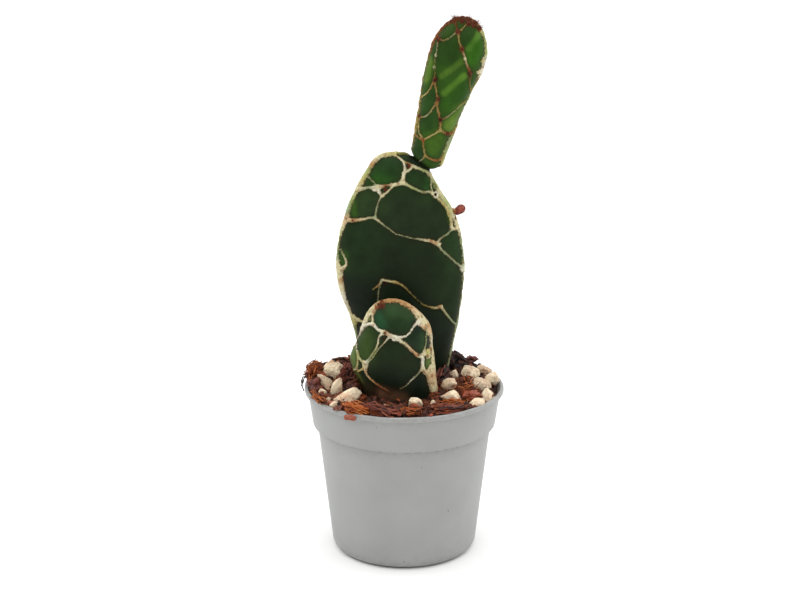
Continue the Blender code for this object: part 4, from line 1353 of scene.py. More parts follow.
TOP_BACK = Face(
    strands=strands(
        (((1.8, 43), (2.6, 39.5), "b1"), (0.29, 0.22, 0.29), "RSR"),
        (("b1", (5.5, 34.5), (8.3, 35.5)), (0.29, 0.2, 0.29), "RGC"),
        (("b1", (-0.5, 32.5), "b2"), (0.29, 0.18, 0.29), "RGR"),
        (("b2", (-3.5, 30.5), (-5.8, 31.5)), (0.27, 0.19, 0.29), "RGS"),
        (("b2", (1.5, 26), "b3"), (0.29, 0.19, 0.29), "RSR"),
        (("b3", (5.5, 24), (7.2, 26)), (0.29, 0.2, 0.29), "RYS"),
        (("b2", (-2.5, 23.5), "b4"), (0.29, 0.2, 0.29), "RSR"),
        (("b3", (1.5, 20.5), "b4"), (0.29, 0.19, 0.29), "RSR"),
        (("b4", (-3.2, 15.5), (-5, 16.5)), (0.29, 0.2, 0.29), "RGS"),
        (("b4", (0.5, 13.5), "b5"), (0.29, 0.22, 0.29), "RSR"),
        (("b5", (3.4, 11.8), (5, 14.5)), (0.29, 0.2, 0.29), "RSS"),
        (("b5", (-1.2, 7.6), (-4.2, 8)), (0.27, 0.2, 0.29), "RSS"),
        (("b5", (1.8, 6), (1.2, 3)), (0.26, 0.18), "RG"),
    ),
    spots=spots(
        (2, 36, 0.7, "B"), (-1, 29, 0.7, "D"), (3.5, 24, 0.65, "D"), (-1, 17.5, 0.65, "D"),
        (1.5, 10.5, 0.6, "B"), (-0.6, 42, 0.8, "B"), (2, 42.2, 0.9, "B"), (4.2, 41.6, 0.8, "B"),
    ),
    patches=patches(
        (0, 32, 3, 38, 3, "#35592a"), (4, 28, 0, 22, 3, "#2f5420"), (0, 15, 0, 5, 3, "#2a4a24"),
    ),
)

TOP = Stem(
    name="top_stem", base=(5.2, 6.0, 105.0), tilt=13.0, start=1.6, tip=43.1, foot=3.2, cap=9.5,
    skin="#33571f", mesh_step=0.17, seed=5.9, gain=(0.72, 0.72, 0.42),
    centre=[
        (1.6, -0.8), (4, -0.4), (7, -0.1), (12, 0.15), (19, 0.4), (25, 0.7), (31, 1.4), (38, 1.6),
        (43.1, 1.6),
    ],
    width=[
        (1.6, 3.7), (4, 4.2), (7, 4.4), (12, 4.9), (19, 5.7), (25, 6.6), (31, 7.2), (38, 7), (43.1, 6.7),
    ],
    thick=[(1.6, 2.4), (4, 2.6), (8, 3), (12, 3.3), (25, 4.2), (34, 4), (43.1, 3.4)],
    foot_slant=-0.367,
    knots={
        "A": (-4.6, 36.4), "T": (0, 39.6), "B": (-3, 26.2), "C": (-1.1, 21.2), "D": (0.8, 16),
        "E": (-4.5, 15), "F": (1.4, 13.2), "G": (-2.3, 9.4), "N": (-0.8, 5.4), "b1": (2, 36),
        "b2": (-1, 29), "b3": (3.5, 24), "b4": (-1, 17.5), "b5": (1.5, 10.5),
    },
    left=margin(
        (1.6, -0.3, "G"), (5, 0.1, "G"), (9, 0.15, "S"), (12, 0.3, "S"), (16, 0.2, "S"), (22, 0.1, "S"),
        (28, 0.1, "G"), (33, 0.15, "R"), (37, 0.2, "R"), (40, 0.3, "B"), (43.1, 0.4, "B"),
    ),
    right=margin(
        (1.6, -0.3, "G"), (3.5, -0.1, "G"), (5, 0.4, "Y"), (7, 0.7, "L"), (11, 0.7, "G"), (13.5, 0.3, "S"),
        (17, 0.1, "L"), (24, 0.1, "L"), (28, 0.2, "S"), (30.5, 0.5, "W"), (33.5, 0.6, "W"),
        (35.5, 0.3, "L"), (40, 0.3, "L"), (42, 0.4, "T"), (43.1, 0.5, "B"),
    ),
    front=TOP_FRONT, back=TOP_BACK,
)

SMALL_FRONT = Face(
    strands=strands(
        (((-5.6, 34.2), (-6.8, 31.8), "P1"), (0.42, 0.34, 0.42), "TCC"),
        (("P1", (-5.2, 28.2), "P2"), (0.47, 0.42, 0.47), "WWC"), (("P2", "P3"), (0.42, 0.51), "TW"),
        (("P1", (-8.6, 28.9), (-10.2, 27.6)), (0.42, 0.36, 0.42), "WWC"),
        (("P3", (1.6, 26.7), (3, 27.8), (4.1, 29.2), "P4"), (0.51, 0.34, 0.27, 0.27, 0.42), "W"),
        (("P4", (7.4, 30.4)), (0.51, 0.51), "WN"),
        (("P4", (6.5, 28.6), (7.3, 27.4), (7.35, 25.4), (7.1, 23.6), (6.7, 22)),
         (0.45, 0.5, 0.25, 0.19, 0.2, 0.4), "WNGGGC"),
        (("P3", (1.6, 24.8), (3.2, 23.2), "P5"), (0.51, 0.31, 0.34, 0.42), "WCNT"),
        (("P5", (6.2, 20.4), (6.4, 18.9), "P7"), (0.42, 0.55, 0.55, 0.5), "CWWC"),
        (("P7", (4.8, 15.8), (3.1, 14.4), (1.7, 13), (0, 12)), (0.29, 0.19, 0.22, 0.12, 0.05), "CGWGG"),
        (("P7", (7.1, 16.2), (8.2, 15)), (0.6,), "CN"),
        (((-2.6, 26.5), (-3.6, 25.3), (-5, 23.7), (-6.4, 21.8), (-7.6, 20.1), "P6"),
         (0.29, 0.2, 0.19, 0.19, 0.2, 0.42), "WCGLGW"),
        (("P2", (-5, 26.8), (-5.5, 24.9), (-6.2, 23.2), (-7.6, 21), "P6"),
         (0.34, 0.26, 0.26, 0.22, 0.22, 0.42), "CWCLGW"),
        (("P6", (-10.4, 20.2), (-11.2, 22.6), (-11.1, 25.6)), (0.42, 0.3, 0.22, 0.3), "CLWC"),
        (("P6", (-9.7, 17.3), (-11, 16.2)), (0.3, 0.26), "YY"),
        (("P6", (-8.7, 16.5), (-7.4, 14.6), (-5.5, 13.2), (-4, 12.2), (-2.4, 11)),
         (0.64, 0.45, 0.34, 0.34, 0.34, 0.3, 0.16), "CNNTRRB"),
        (((-11.1, 21.6), (-10.9, 19.2), (-11.2, 17.2), (-12.2, 16.2)), (0.2, 0.3, 0.26, 0.2), "LYCY"),
    ),
    webs=spots(
        (-1.2, 26.4, 0.75, "W"), (6.2, 29.9, 0.8, "C"), (7, 28.8, 0.7, "N"), (-9, 18.6, 0.8, "C"),
        (6.6, 21.4, 0.7, "C"), (7.7, 21.6, 1, "Y"), (7.9, 20.5, 0.8, "C"), (6.5, 17.6, 0.6, "C"),
        (8, 16.2, 0.7, "N"), (-8, 31.6, 0.6, "C"),
    ),
    islands=spots((-7.7, 30.6, 0.42, "O"), (-3.9, 26.2, 0.38, "D"), (6, 30.8, 0.26, "D")),
    spots=spots(
        (-4.3, 34.4, 0.8, "B"), (-5.9, 33.5, 0.5, "R"), (-5.1, 33.9, 0.6, "B"),
        (-4.9, 33.1, 0.5, "R", 0.6), (-3.2, 34.7, 0.5, "R", 0.7), (-6.6, 32.4, 0.4, "R", 0.7),
        (-3.6, 27.6, 0.5, "B", 0.9), (5.2, 21.5, 0.4, "B", 0.9), (8.5, 21.9, 0.5, "R", 0.8),
        (8.6, 14.9, 0.6, "R", 0.7), (9, 12.6, 0.6, "T", 0.6), (-2, 34.5, 1.6, "T", 0.6),
        (2, 33.4, 1.4, "T", 0.6), (7.6, 28.6, 0.8, "T", 0.7), (5.6, 31.6, 0.8, "T", 0.6),
        (-10.2, 18.3, 0.5, "B", 0.8), (8.8, 26.8, 0.5, "T", 0.5),
    ),
    # The teal streak at the upper left is a painted highlight; the dark patches low on the face are painted
    # shade, darker towards the soil, and the dark brown streak at the lower left is soil with painted shade
    patches=patches(
        (0.5, 30.5, 3.4, "#2c4629"), (-5.2, 31.2, -4.6, 30, 1.2, "#2f6040"),
        (-1, 33, 2, 32.6, 1.8, "#375a30"), (4.6, 29, 1.3, "#2a3d35"), (-8, 25, -8.2, 22, 2, "#46622f"),
        (-6, 25.6, -6.2, 23.6, 1.2, "#30482b"), (4.2, 24.8, 2.2, "#2a4131"),
        (6, 26, 6.2, 23.6, 1, "#30502c"), (-1, 21.6, -1, 19, 4.5, "#28391f"),
        (0, 14.6, 0, 11, 4.5, "#17231c"), (-12.1, 21.6, -12, 18, 1, "#6f8c4a"),
        (-10.8, 15, -9.8, 13.6, 0.7, "#7a8a45"), (-9, 13, -9.5, 10, 2.5, "#22341f"),
        (3, 10, 6, 12, 2.4, "#1a271b"), (8.1, 19.6, 8.1, 17.9, 0.8, "#75914c"),
        (-4, 10.8, 1, 9.6, 1.5, "#a5775f"), (-9.8, 12.4, -7, 11.2, 1.6, "#4a3228"),
    ),
)

SMALL_BACK = Face(
    strands=strands(
        (((-2, 34.8), (-1, 31), "b1"), (0.42, 0.3, 0.51), "TWC"),
        (("b1", (-3.5, 23.5), "b2"), (0.51, 0.3, 0.42), "CWC"),
        (("b1", (3.2, 23.5), "b3"), (0.51, 0.3, 0.42), "CGC"),
        (("b2", (-8, 20.5), (-12, 21.5)), (0.42, 0.31, 0.59), "CWC"),
        (("b3", (7, 20.5), (9.4, 22.5)), (0.42, 0.31, 0.59), "CWC"),
        (("b2", (-3, 15.5), "b4"), (0.42, 0.26, 0.38), "CGT"),
        (("b3", (3, 15), "b4"), (0.42, 0.26, 0.38), "CWT"), (("b4", (-0.5, 9)), (0.34, 0.17), "TG"),
    ),
    spots=spots(
        (0, 27.2, 0.6, "B"), (-5, 19.7, 0.55, "B"), (4.5, 19.2, 0.55, "B"), (-1.5, 34.8, 1.4, "T", 0.8),
    ),
    # The dark patch low on the face is painted shade, darker towards the soil
    patches=patches(
        (-4, 29, 4, 29, 3.5, "#2e4a2a"), (0, 21, 0, 17, 4.5, "#27391f"), (0, 10, 4.5, "#18241b"),
    ),
)

SMALL = Stem(
    name="front_stem", base=(-1.5, -8.0, 38.0), tilt=0.0, start=0.0, tip=35.3, foot=5.0, cap=14.0,
    skin="#263a22", mesh_step=0.2, seed=9.1, gain=(0.58, 0.55, 0.48),
    centre=[
        (0, 0.3), (7, 0.1), (10, -0.2), (13, -0.6), (16.5, -1.5), (19.5, -2), (22.6, -1.6), (25.8, -1),
        (28.7, -0.8), (32, -1.4), (35.3, -2),
    ],
    width=[
        (0, 8), (7, 9.8), (10, 10.3), (13, 10.3), (16.5, 10.9), (19.5, 11.1), (22.6, 10.3), (25.8, 10),
        (28.7, 10), (32, 9.9), (35.3, 9.8),
    ],
    thick=[(0, 4.2), (8, 5.4), (18, 6), (28, 5.4), (35.3, 4.6)],
    knots={
        "P1": (-6.8, 29.6), "P2": (-3.6, 27.7), "P3": (-1, 26.4), "P4": (5.1, 29.9), "P5": (5.1, 21.2),
        "P6": (-8.9, 19), "P7": (6.3, 17.4), "b1": (0, 27), "b2": (-5, 19.5), "b3": (4.5, 19),
        "b4": (0, 12.5),
    },
    left=margin(
        (5, 0.2, "O"), (12, 0.2, "O"), (16, 0, "O"), (18, -0.1, "Y"), (21, -0.1, "L"), (24, -0.1, "W"),
        (26, 0.1, "W"), (28.5, 0.4, "W"), (30, 0.6, "C"), (33, 0.6, "C"), (35.3, 0.35, "T"),
    ),
    right=margin(
        (5, 0.9, "Y"), (8, 1.1, "Y"), (11, 1.7, "C"), (15, 2.1, "N"), (16.6, 2.2, "C"), (18.2, 0.6, "C"),
        (22.5, 0.3, "C"), (23.5, 0.3, "W"), (25.8, 0.4, "C"), (27.2, 1, "N"), (29.5, 1.1, "C"),
        (31, 0.9, "C"), (33, 0.5, "N"), (35.3, 0.35, "T"),
    ),
    front=SMALL_FRONT, back=SMALL_BACK,
)


@dataclass(frozen=True)
class Scatter:
    """Small shapes strewn over a ground mesh by a tree of geometry nodes."""

    spacing: float           # least distance between two, in millimetres
    density: float           # most per square millimetre
    smallest: float
    largest: float
    lift: float              # how far each stands over the ground
    lean: float              # largest tip away from lying flat, in radians
    seed: int

    def numbers(self) -> dict[str, float]:
        """Values for the tree's named inputs."""
        return {"Spacing": self.spacing * MM, "Density": self.density / MM**2, "Smallest": self.smallest,
                "Largest": self.largest, "Lift": self.lift * MM, "Lean": self.lean}

    def tree(self, name: str, shapes: bpy.types.Collection, material: Material) -> Tree:
        """Strew points, and put a shape of random size, turn and shade on each.

        Args:
            name: The tree's name.
            shapes: The shapes to pick from.
            material: The copies' finish.

        Returns:
            The tree.
        """
        tree, given = start_tree(name, self.numbers())
        make = partial(add_node, tree)
        points = make("GeometryNodeDistributePointsOnFaces",
                      {"Mesh": given["Geometry"], "Distance Min": given["Spacing"],
                       "Density Max": given["Density"], "Seed": self.seed}, distribute_method="POISSON")
        size = chance(tree, 0.0, 1.0, self.seed + 1)
        sized = make("ShaderNodeMapRange",
                     {"Value": size, "To Min": given["Smallest"], "To Max": given["Largest"]})
        tip = chance(tree, (-1.0, -1.0, 0.0), (1.0, 1.0, 0.0), self.seed + 2)
        tipped = make("ShaderNodeVectorMath", {0: tip, "Scale": given["Lean"]}, operation="SCALE")
        yawed = make("ShaderNodeCombineXYZ", {"Z": chance(tree, 0.0, math.tau, self.seed + 3)})
        turn = make("ShaderNodeVectorMath", {0: tipped, 1: yawed}, operation="ADD")
        library = make("GeometryNodeCollectionInfo",
                       {"Collection": shapes, "Separate Children": True, "Reset Children": True})
        copies = make("GeometryNodeInstanceOnPoints",
                      {"Points": points.outputs["Points"], "Instance": library, "Pick Instance": True,
                       "Rotation": turn, "Scale": sized})
        rise = make("ShaderNodeCombineXYZ", {"Z": given["Lift"]})
        lifted = make("GeometryNodeTranslateInstances",
                      {"Instances": copies, "Translation": rise, "Local Space": False})
        end_tree(tree, shaded_copies(tree, lifted, self.seed + 4), material)
        return tree

    def build(self, name: str, ground: Object, shapes: list[Object], material: Material) -> Object:
        """Strew the shapes over the ground.

        Args:
            name: The new piece's name.
            ground: The mesh they lie on, which is used up.
            shapes: The shapes to pick from, which are used up.
            material: The copies' finish.

        Returns:
            One plain mesh with all the copies.
        """
        library = bpy.data.collections.new(f"{name} shapes")
        for shape in shapes:
            bpy.context.scene.collection.objects.unlink(shape)
            library.objects.link(shape)
        ground.name = name
        piece = run_tree(ground, self.tree(name, library, material), self.numbers())
        for shape in shapes:
            bpy.data.objects.remove(shape)
        bpy.data.collections.remove(library)
        return piece


CRUMBS = Scatter(spacing=1.15, density=0.9, smallest=0.7, largest=2.2, lift=0.1, lean=0.6, seed=3)
HUSK_FLAKES = Scatter(spacing=2.1, density=0.3, smallest=0.5, largest=1.15, lift=0.45, lean=0.7, seed=14)
COIR_FLAKES = Scatter(spacing=1.6, density=0.5, smallest=0.6, largest=1.5, lift=0.4, lean=0.9, seed=15)
LOOSE_FIBRES = Scatter(spacing=1.3, density=0.6, smallest=0.6, largest=1.2, lift=0.6, lean=0.6, seed=8)


def tube(line: Array, radii: Array, sides: int = 4, flatness: float = 1.0) -> Shape:
    """Points and faces of a closed tube along a line.

    Args:
        line: Points of its middle line.
        radii: Radius at each point.
        sides: Corners of its section.
        flatness: Height of the section over its width.

    Returns:
        Points and faces.
    """
    runs = np.gradient(line, axis=0)
    runs /= np.maximum(np.linalg.norm(runs, axis=1, keepdims=True), 1e-9)
    across = np.cross(runs, [0.13, 0.29, 0.95])
    across /= np.maximum(np.linalg.norm(across, axis=1, keepdims=True), 1e-9)
    over = np.cross(across, runs)
    angles = [math.tau * k / sides for k in range(sides)]
    verts = [place + radius * (a * math.cos(angle) + b * flatness * math.sin(angle))
             for place, radius, a, b in zip(line, radii, across, over) for angle in angles]
    ends = [tuple(range(sides))[::-1], tuple(range(len(verts) - sides, len(verts)))]
    return verts, ring_faces(len(line), sides) + ends


def bent_line(rng: random.Random, length: float, bend: float, steps: int) -> Array:
    """A bent line along X, as coir fibres and torn husk have."""
    knots = [(length * (k / 4 - 0.5), rng.uniform(-bend, bend), rng.uniform(-0.3, 0.6) * bend)
             for k in range(5)]
    return curve_through(np.array(knots), steps)


def fibre(rng: random.Random, length: float, thickness: float, bend: float, steps: int = 2) -> Shape:
    """Points and faces of one bent, tapered fibre along X.

    Args:
        rng: Where the random draws come from.
        length: Its length.
        thickness: Its radius in the middle.
        bend: How far it strays to a side.
        steps: Points between two knots of its line.

    Returns:
        Points and faces.
    """
    line = bent_line(rng, length, bend, steps)
    radii = thickness * (0.35 + 0.65 * np.sin(math.pi * np.linspace(0, 1, len(line))) ** 0.5)
    return tube(line, radii, 4, 0.7)


def loose_fibre(rng: random.Random) -> Shape:
    """Points and faces of a thin fibre 3 to 7 mm long."""
    return fibre(rng, rng.uniform(3, 7), 0.09, 1.6)


def crumb(rng: random.Random) -> Shape:
    """Points and faces of a torn crumb of coir about 1 mm wide, 56 triangles.

    Args:
        rng: Where the random draws come from.

    Returns:
        Points and faces.
    """
    mesh = bmesh.new()
    bmesh.ops.create_uvsphere(mesh, u_segments=7, v_segments=5, radius=0.5)
    shift = Vector((rng.uniform(0, 90), 0, 0))
    stretch = Vector((rng.uniform(0.9, 1.8), rng.uniform(0.6, 1.0), rng.uniform(0.45, 0.8)))
    for vert in mesh.verts:
        vert.co = vert.co * (1 + 1.1 * noise.noise(vert.co * 2.6 + shift)) * stretch
    verts, faces = taken(mesh)
    return verts, sorted(faces)      # a sphere's faces come in another order each time


def flake(rng: random.Random) -> Shape:
    """Points and faces of a flat, bent, ragged flake of husk 2 to 4 mm long.

    Args:
        rng: Where the random draws come from.

    Returns:
        Points and faces.
    """
    line = bent_line(rng, rng.uniform(2.0, 3.8), 0.45, 1)
    radii = [rng.uniform(0.15, 0.4), *(rng.uniform(0.4, 0.95) for _ in line[2:]), rng.uniform(0.1, 0.35)]
    return tube(line, np.array(radii), 6, rng.uniform(0.25, 0.5))


def loose(shape: Shape) -> Object:
    """An object to strew, from points and faces."""
    return face_outwards(make_object("loose", *shape))


@dataclass(frozen=True)
class Tufts:
    """Bristles on areoles: a tree copies each marked point and turns a thin cone out of the skin there."""

    count: int
    spread: float
    length: float
    radius: float
    lean: float
    seed: int

    def numbers(self) -> dict[str, float]:
        """Values for the tree's named inputs."""
        return {"Count": self.count, "Spread": self.spread * MM, "Length": self.length * MM,
                "Radius": self.radius * MM, "Lean": self.lean}

    def tree(self, name: str, material: Material) -> Tree:
        """Copy each point, stray the copies, and stand a cone on each.

        Args:
            name: The tree's name.
            material: The bristles' finish.

        Returns:
            The tree.
        """
        tree, given = start_tree(name, self.numbers())
        make = partial(add_node, tree)
        points = make("GeometryNodeMeshToPoints", {"Mesh": given["Geometry"]})
        many = make("GeometryNodeDuplicateElements", {"Geometry": points, "Amount": given["Count"]},
                    domain="POINT")
        each = make("GeometryNodeInputIndex")
        offset = chance(tree, *ALL_WAYS, self.seed, each)
        wide = make("GeometryNodeInputNamedAttribute", {"Name": "size"}, data_type="FLOAT")
        reach = make("ShaderNodeMath", {0: given["Spread"], 1: wide}, operation="MULTIPLY")
        moved = make("ShaderNodeVectorMath", {0: offset, "Scale": reach}, operation="SCALE")
        placed = make("GeometryNodeSetPosition", {"Geometry": many, "Offset": moved})
        out = make("GeometryNodeInputNamedAttribute", {"Name": "out"}, data_type="FLOAT_VECTOR")
        tip = chance(tree, *ALL_WAYS, self.seed + 1, each)
        lean = make("ShaderNodeVectorMath", {0: tip, "Scale": given["Lean"]}, operation="SCALE")
        way = make("ShaderNodeVectorMath", {0: out, 1: lean}, operation="ADD")
        turn = make("FunctionNodeAlignRotationToVector", {"Vector": way}, axis="Z")
        cone = make("GeometryNodeMeshCone",
                    {"Vertices": 4, "Radius Top": 0.0, "Radius Bottom": given["Radius"],
                     "Depth": given["Length"]})
        scale = make("ShaderNodeMath", {0: chance(tree, 0.5, 1.1, self.seed + 2, each), 1: wide},
                     operation="MULTIPLY")
        copies = make("GeometryNodeInstanceOnPoints",
                      {"Points": placed, "Instance": cone.outputs["Mesh"], "Rotation": turn, "Scale": scale})
        end_tree(tree, shaded_copies(tree, copies, self.seed + 4), material)
        return tree

    def build(self, name: str, areoles: list[Areole], material: Material) -> Object:
        """Grow the tufts.

        Args:
            name: The new piece's name.
            areoles: For each one its point, the way out of the skin, and its size as a share of full.
            material: The bristles' finish.

        Returns:
            One plain mesh with all the bristles.
        """
        points = np.array([point for point, _, _ in areoles])
        thing = make_object(name, points, [], material)
        outward = thing.data.attributes.new("out", "FLOAT_VECTOR", "POINT")
        outward.data.foreach_set("vector", np.array([out for _, out, _ in areoles], np.float32).ravel())
        store(thing, "size", np.array([size for _, _, size in areoles]))
        return run_tree(thing, self.tree(name, material), self.numbers())


AREOLE_TUFTS = Tufts(count=26, spread=0.7, length=1.0, radius=0.045, lean=0.9, seed=5)
TIP_TUFTS = Tufts(count=40, spread=0.9, length=2.2, radius=0.06, lean=0.8, seed=6)
TIP_FROM = 41.0          # areoles farther along the top stem than this grow on its young tip


@dataclass(frozen=True)
class Guide:
    """A line that a bundle of fibres follows: its points, half width, number of fibres and tone."""

    points: tuple[Point, ...]
    spread: float
    count: int
    tone: float


@dataclass(frozen=True)
class Bundles:
    """Fibres that run together: a tree copies each guide line many times, and strays and shades each copy."""

    stray: float
    radius: float
    seed: int

    def numbers(self) -> dict[str, float]:
        """Values for the tree's named inputs."""
        return {"Stray": 2 * self.stray * MM, "Radius": self.radius * MM, "Points": 10}

    def tree(self, name: str, material: Material) -> Tree:
        """Smooth the guides, copy them, bend each copy by its own noise, and thicken it.

        Args:
            name: The tree's name.
            material: The fibres' finish.

        Returns:
            The tree.
        """
        tree, given = start_tree(name, self.numbers())
        make = partial(add_node, tree)
        rough = make("GeometryNodeMeshToCurve", {"Mesh": given["Geometry"]})
        round_off = make("GeometryNodeCurveSplineType", {"Curve": rough}, spline_type="CATMULL_ROM")
        fine = make("GeometryNodeResampleCurve", {"Curve": round_off, "Count": given["Points"]})
        spread, count, tone = (make("GeometryNodeInputNamedAttribute", {"Name": key}, data_type="FLOAT")
                               for key in ("spread", "count", "tone"))
        many = make("GeometryNodeDuplicateElements", {"Geometry": fine, "Amount": count}, domain="SPLINE")
        index = make("GeometryNodeInputIndex")
        each = make("GeometryNodeFieldOnDomain", {0: index}, data_type="INT", domain="CURVE")
        offset = chance(tree, *ALL_WAYS, self.seed, each)
        apart = make("ShaderNodeVectorMath", {0: offset, "Scale": spread}, operation="SCALE")
        where = make("GeometryNodeInputPosition")
        wave = make("ShaderNodeTexNoise",
                    {"Vector": where, "Scale": 1 / (3.4 * MM), "Detail": 2.0,
                     "W": chance(tree, 0.0, 90.0, self.seed + 1, each)}, noise_dimensions="4D")
        centred = make("ShaderNodeVectorMath", {0: wave.outputs["Color"], 1: (0.5, 0.5, 0.5)},
                       operation="SUBTRACT")
        bend = make("ShaderNodeVectorMath", {0: centred, "Scale": given["Stray"]}, operation="SCALE")
        shift = make("ShaderNodeVectorMath", {0: apart, 1: bend}, operation="ADD")
        strayed = make("GeometryNodeSetPosition", {"Geometry": many, "Offset": shift})
        shade = make("ShaderNodeMath", {0: chance(tree, -0.45, 0.4, self.seed + 2, each), 1: tone},
                     operation="ADD")
        shaded = make("GeometryNodeStoreNamedAttribute",
                      {"Geometry": strayed, "Name": "shade", "Value": shade},
                      data_type="FLOAT", domain="POINT")
        torn = make("GeometryNodeTrimCurve",
                    {"Curve": shaded, "Start": chance(tree, 0.0, 0.6, self.seed + 4, each),
                     "End": chance(tree, 0.65, 1.0, self.seed + 5, each)}, mode="FACTOR")
        thick = make("GeometryNodeSetCurveRadius",
                     {0: torn, "Radius": chance(tree, 0.5, 1.2, self.seed + 3, each)})
        ring = make("GeometryNodeCurvePrimitiveCircle", {"Resolution": 4, "Radius": given["Radius"]})
        solid = make("GeometryNodeCurveToMesh", {0: thick, "Profile Curve": ring, "Fill Caps": True})
        end_tree(tree, solid, material)
        return tree

    def build(self, name: str, guides: list[Guide], material: Material) -> Object:
        """Lay the fibres.

        Args:
            name: The new piece's name.
            guides: The lines that they follow.
            material: The fibres' finish.

        Returns:
            One plain mesh with all the fibres.
        """
        points, edges, values = [], [], []
        for guide in guides:
            first = len(points)
            points += guide.points
            edges += [(k, k + 1) for k in range(first, len(points) - 1)]
            values += [(guide.spread * MM, guide.count, guide.tone)] * len(guide.points)
        thing = make_object(name, points, [], edges=edges)
        for key, column in zip(("spread", "count", "tone"), np.array(values).T):
            store(thing, key, column)
        return run_tree(thing, self.tree(name, material), self.numbers())


BUD_WOOL = Bundles(stray=0.1, radius=0.07, seed=9)
COIR_BUNDLES = Bundles(stray=2.0, radius=0.17, seed=6)
HUSK_BUNDLES = Bundles(stray=2.0, radius=0.2, seed=16)


@dataclass(frozen=True)
class Lump:
    """A torn lump of coir or husk: its middle, its size, its turn in degrees and its tone."""

    at: Point
    size: Point
    turn: float
    tone: float

    def part(self, seed: int, ridges: float) -> tuple[list, list, list]:
        """Its points, faces and shades, ridged along its length by fibres.

        Args:
            seed: Picks its shape.
            ridges: How deep the fibres' ridges are.

        Returns:
            The three lists.
        """
        ball = bmesh.new()
        bmesh.ops.create_icosphere(ball, subdivisions=4, radius=0.5)
        shift = Vector((seed * 5.3, 0, 0))
        shades = []
        for vert in ball.verts:
            plain = vert.co.copy()
            fibres = noise.noise(Vector((plain.x * 2, plain.y * 12, plain.z * 12)) + shift)
            big = noise.noise(plain * 2.6 + shift)
            vert.co = plain * (1 + 0.7 * big + ridges * fibres + 0.12 * noise.noise(plain * 9 + shift))
            shades.append(self.tone + 0.35 * fibres + 0.2 * big)
        place = Matrix.Translation(self.at) @ Matrix.Rotation(math.radians(self.turn), 4, "Z")
        bmesh.ops.transform(ball, matrix=place @ Matrix.Diagonal((*self.size, 1)), verts=ball.verts[:])
        return *taken(ball), shades


def arc(centre: Place, radius: float, start: float, end: float, count: int) -> list[Place]:
    """Points (radius, height) along an arc, with its angles in degrees."""
    angles = np.radians(np.linspace(start, end, count))
    return [(centre[0] + radius * math.cos(a), centre[1] + radius * math.sin(a)) for a in angles]


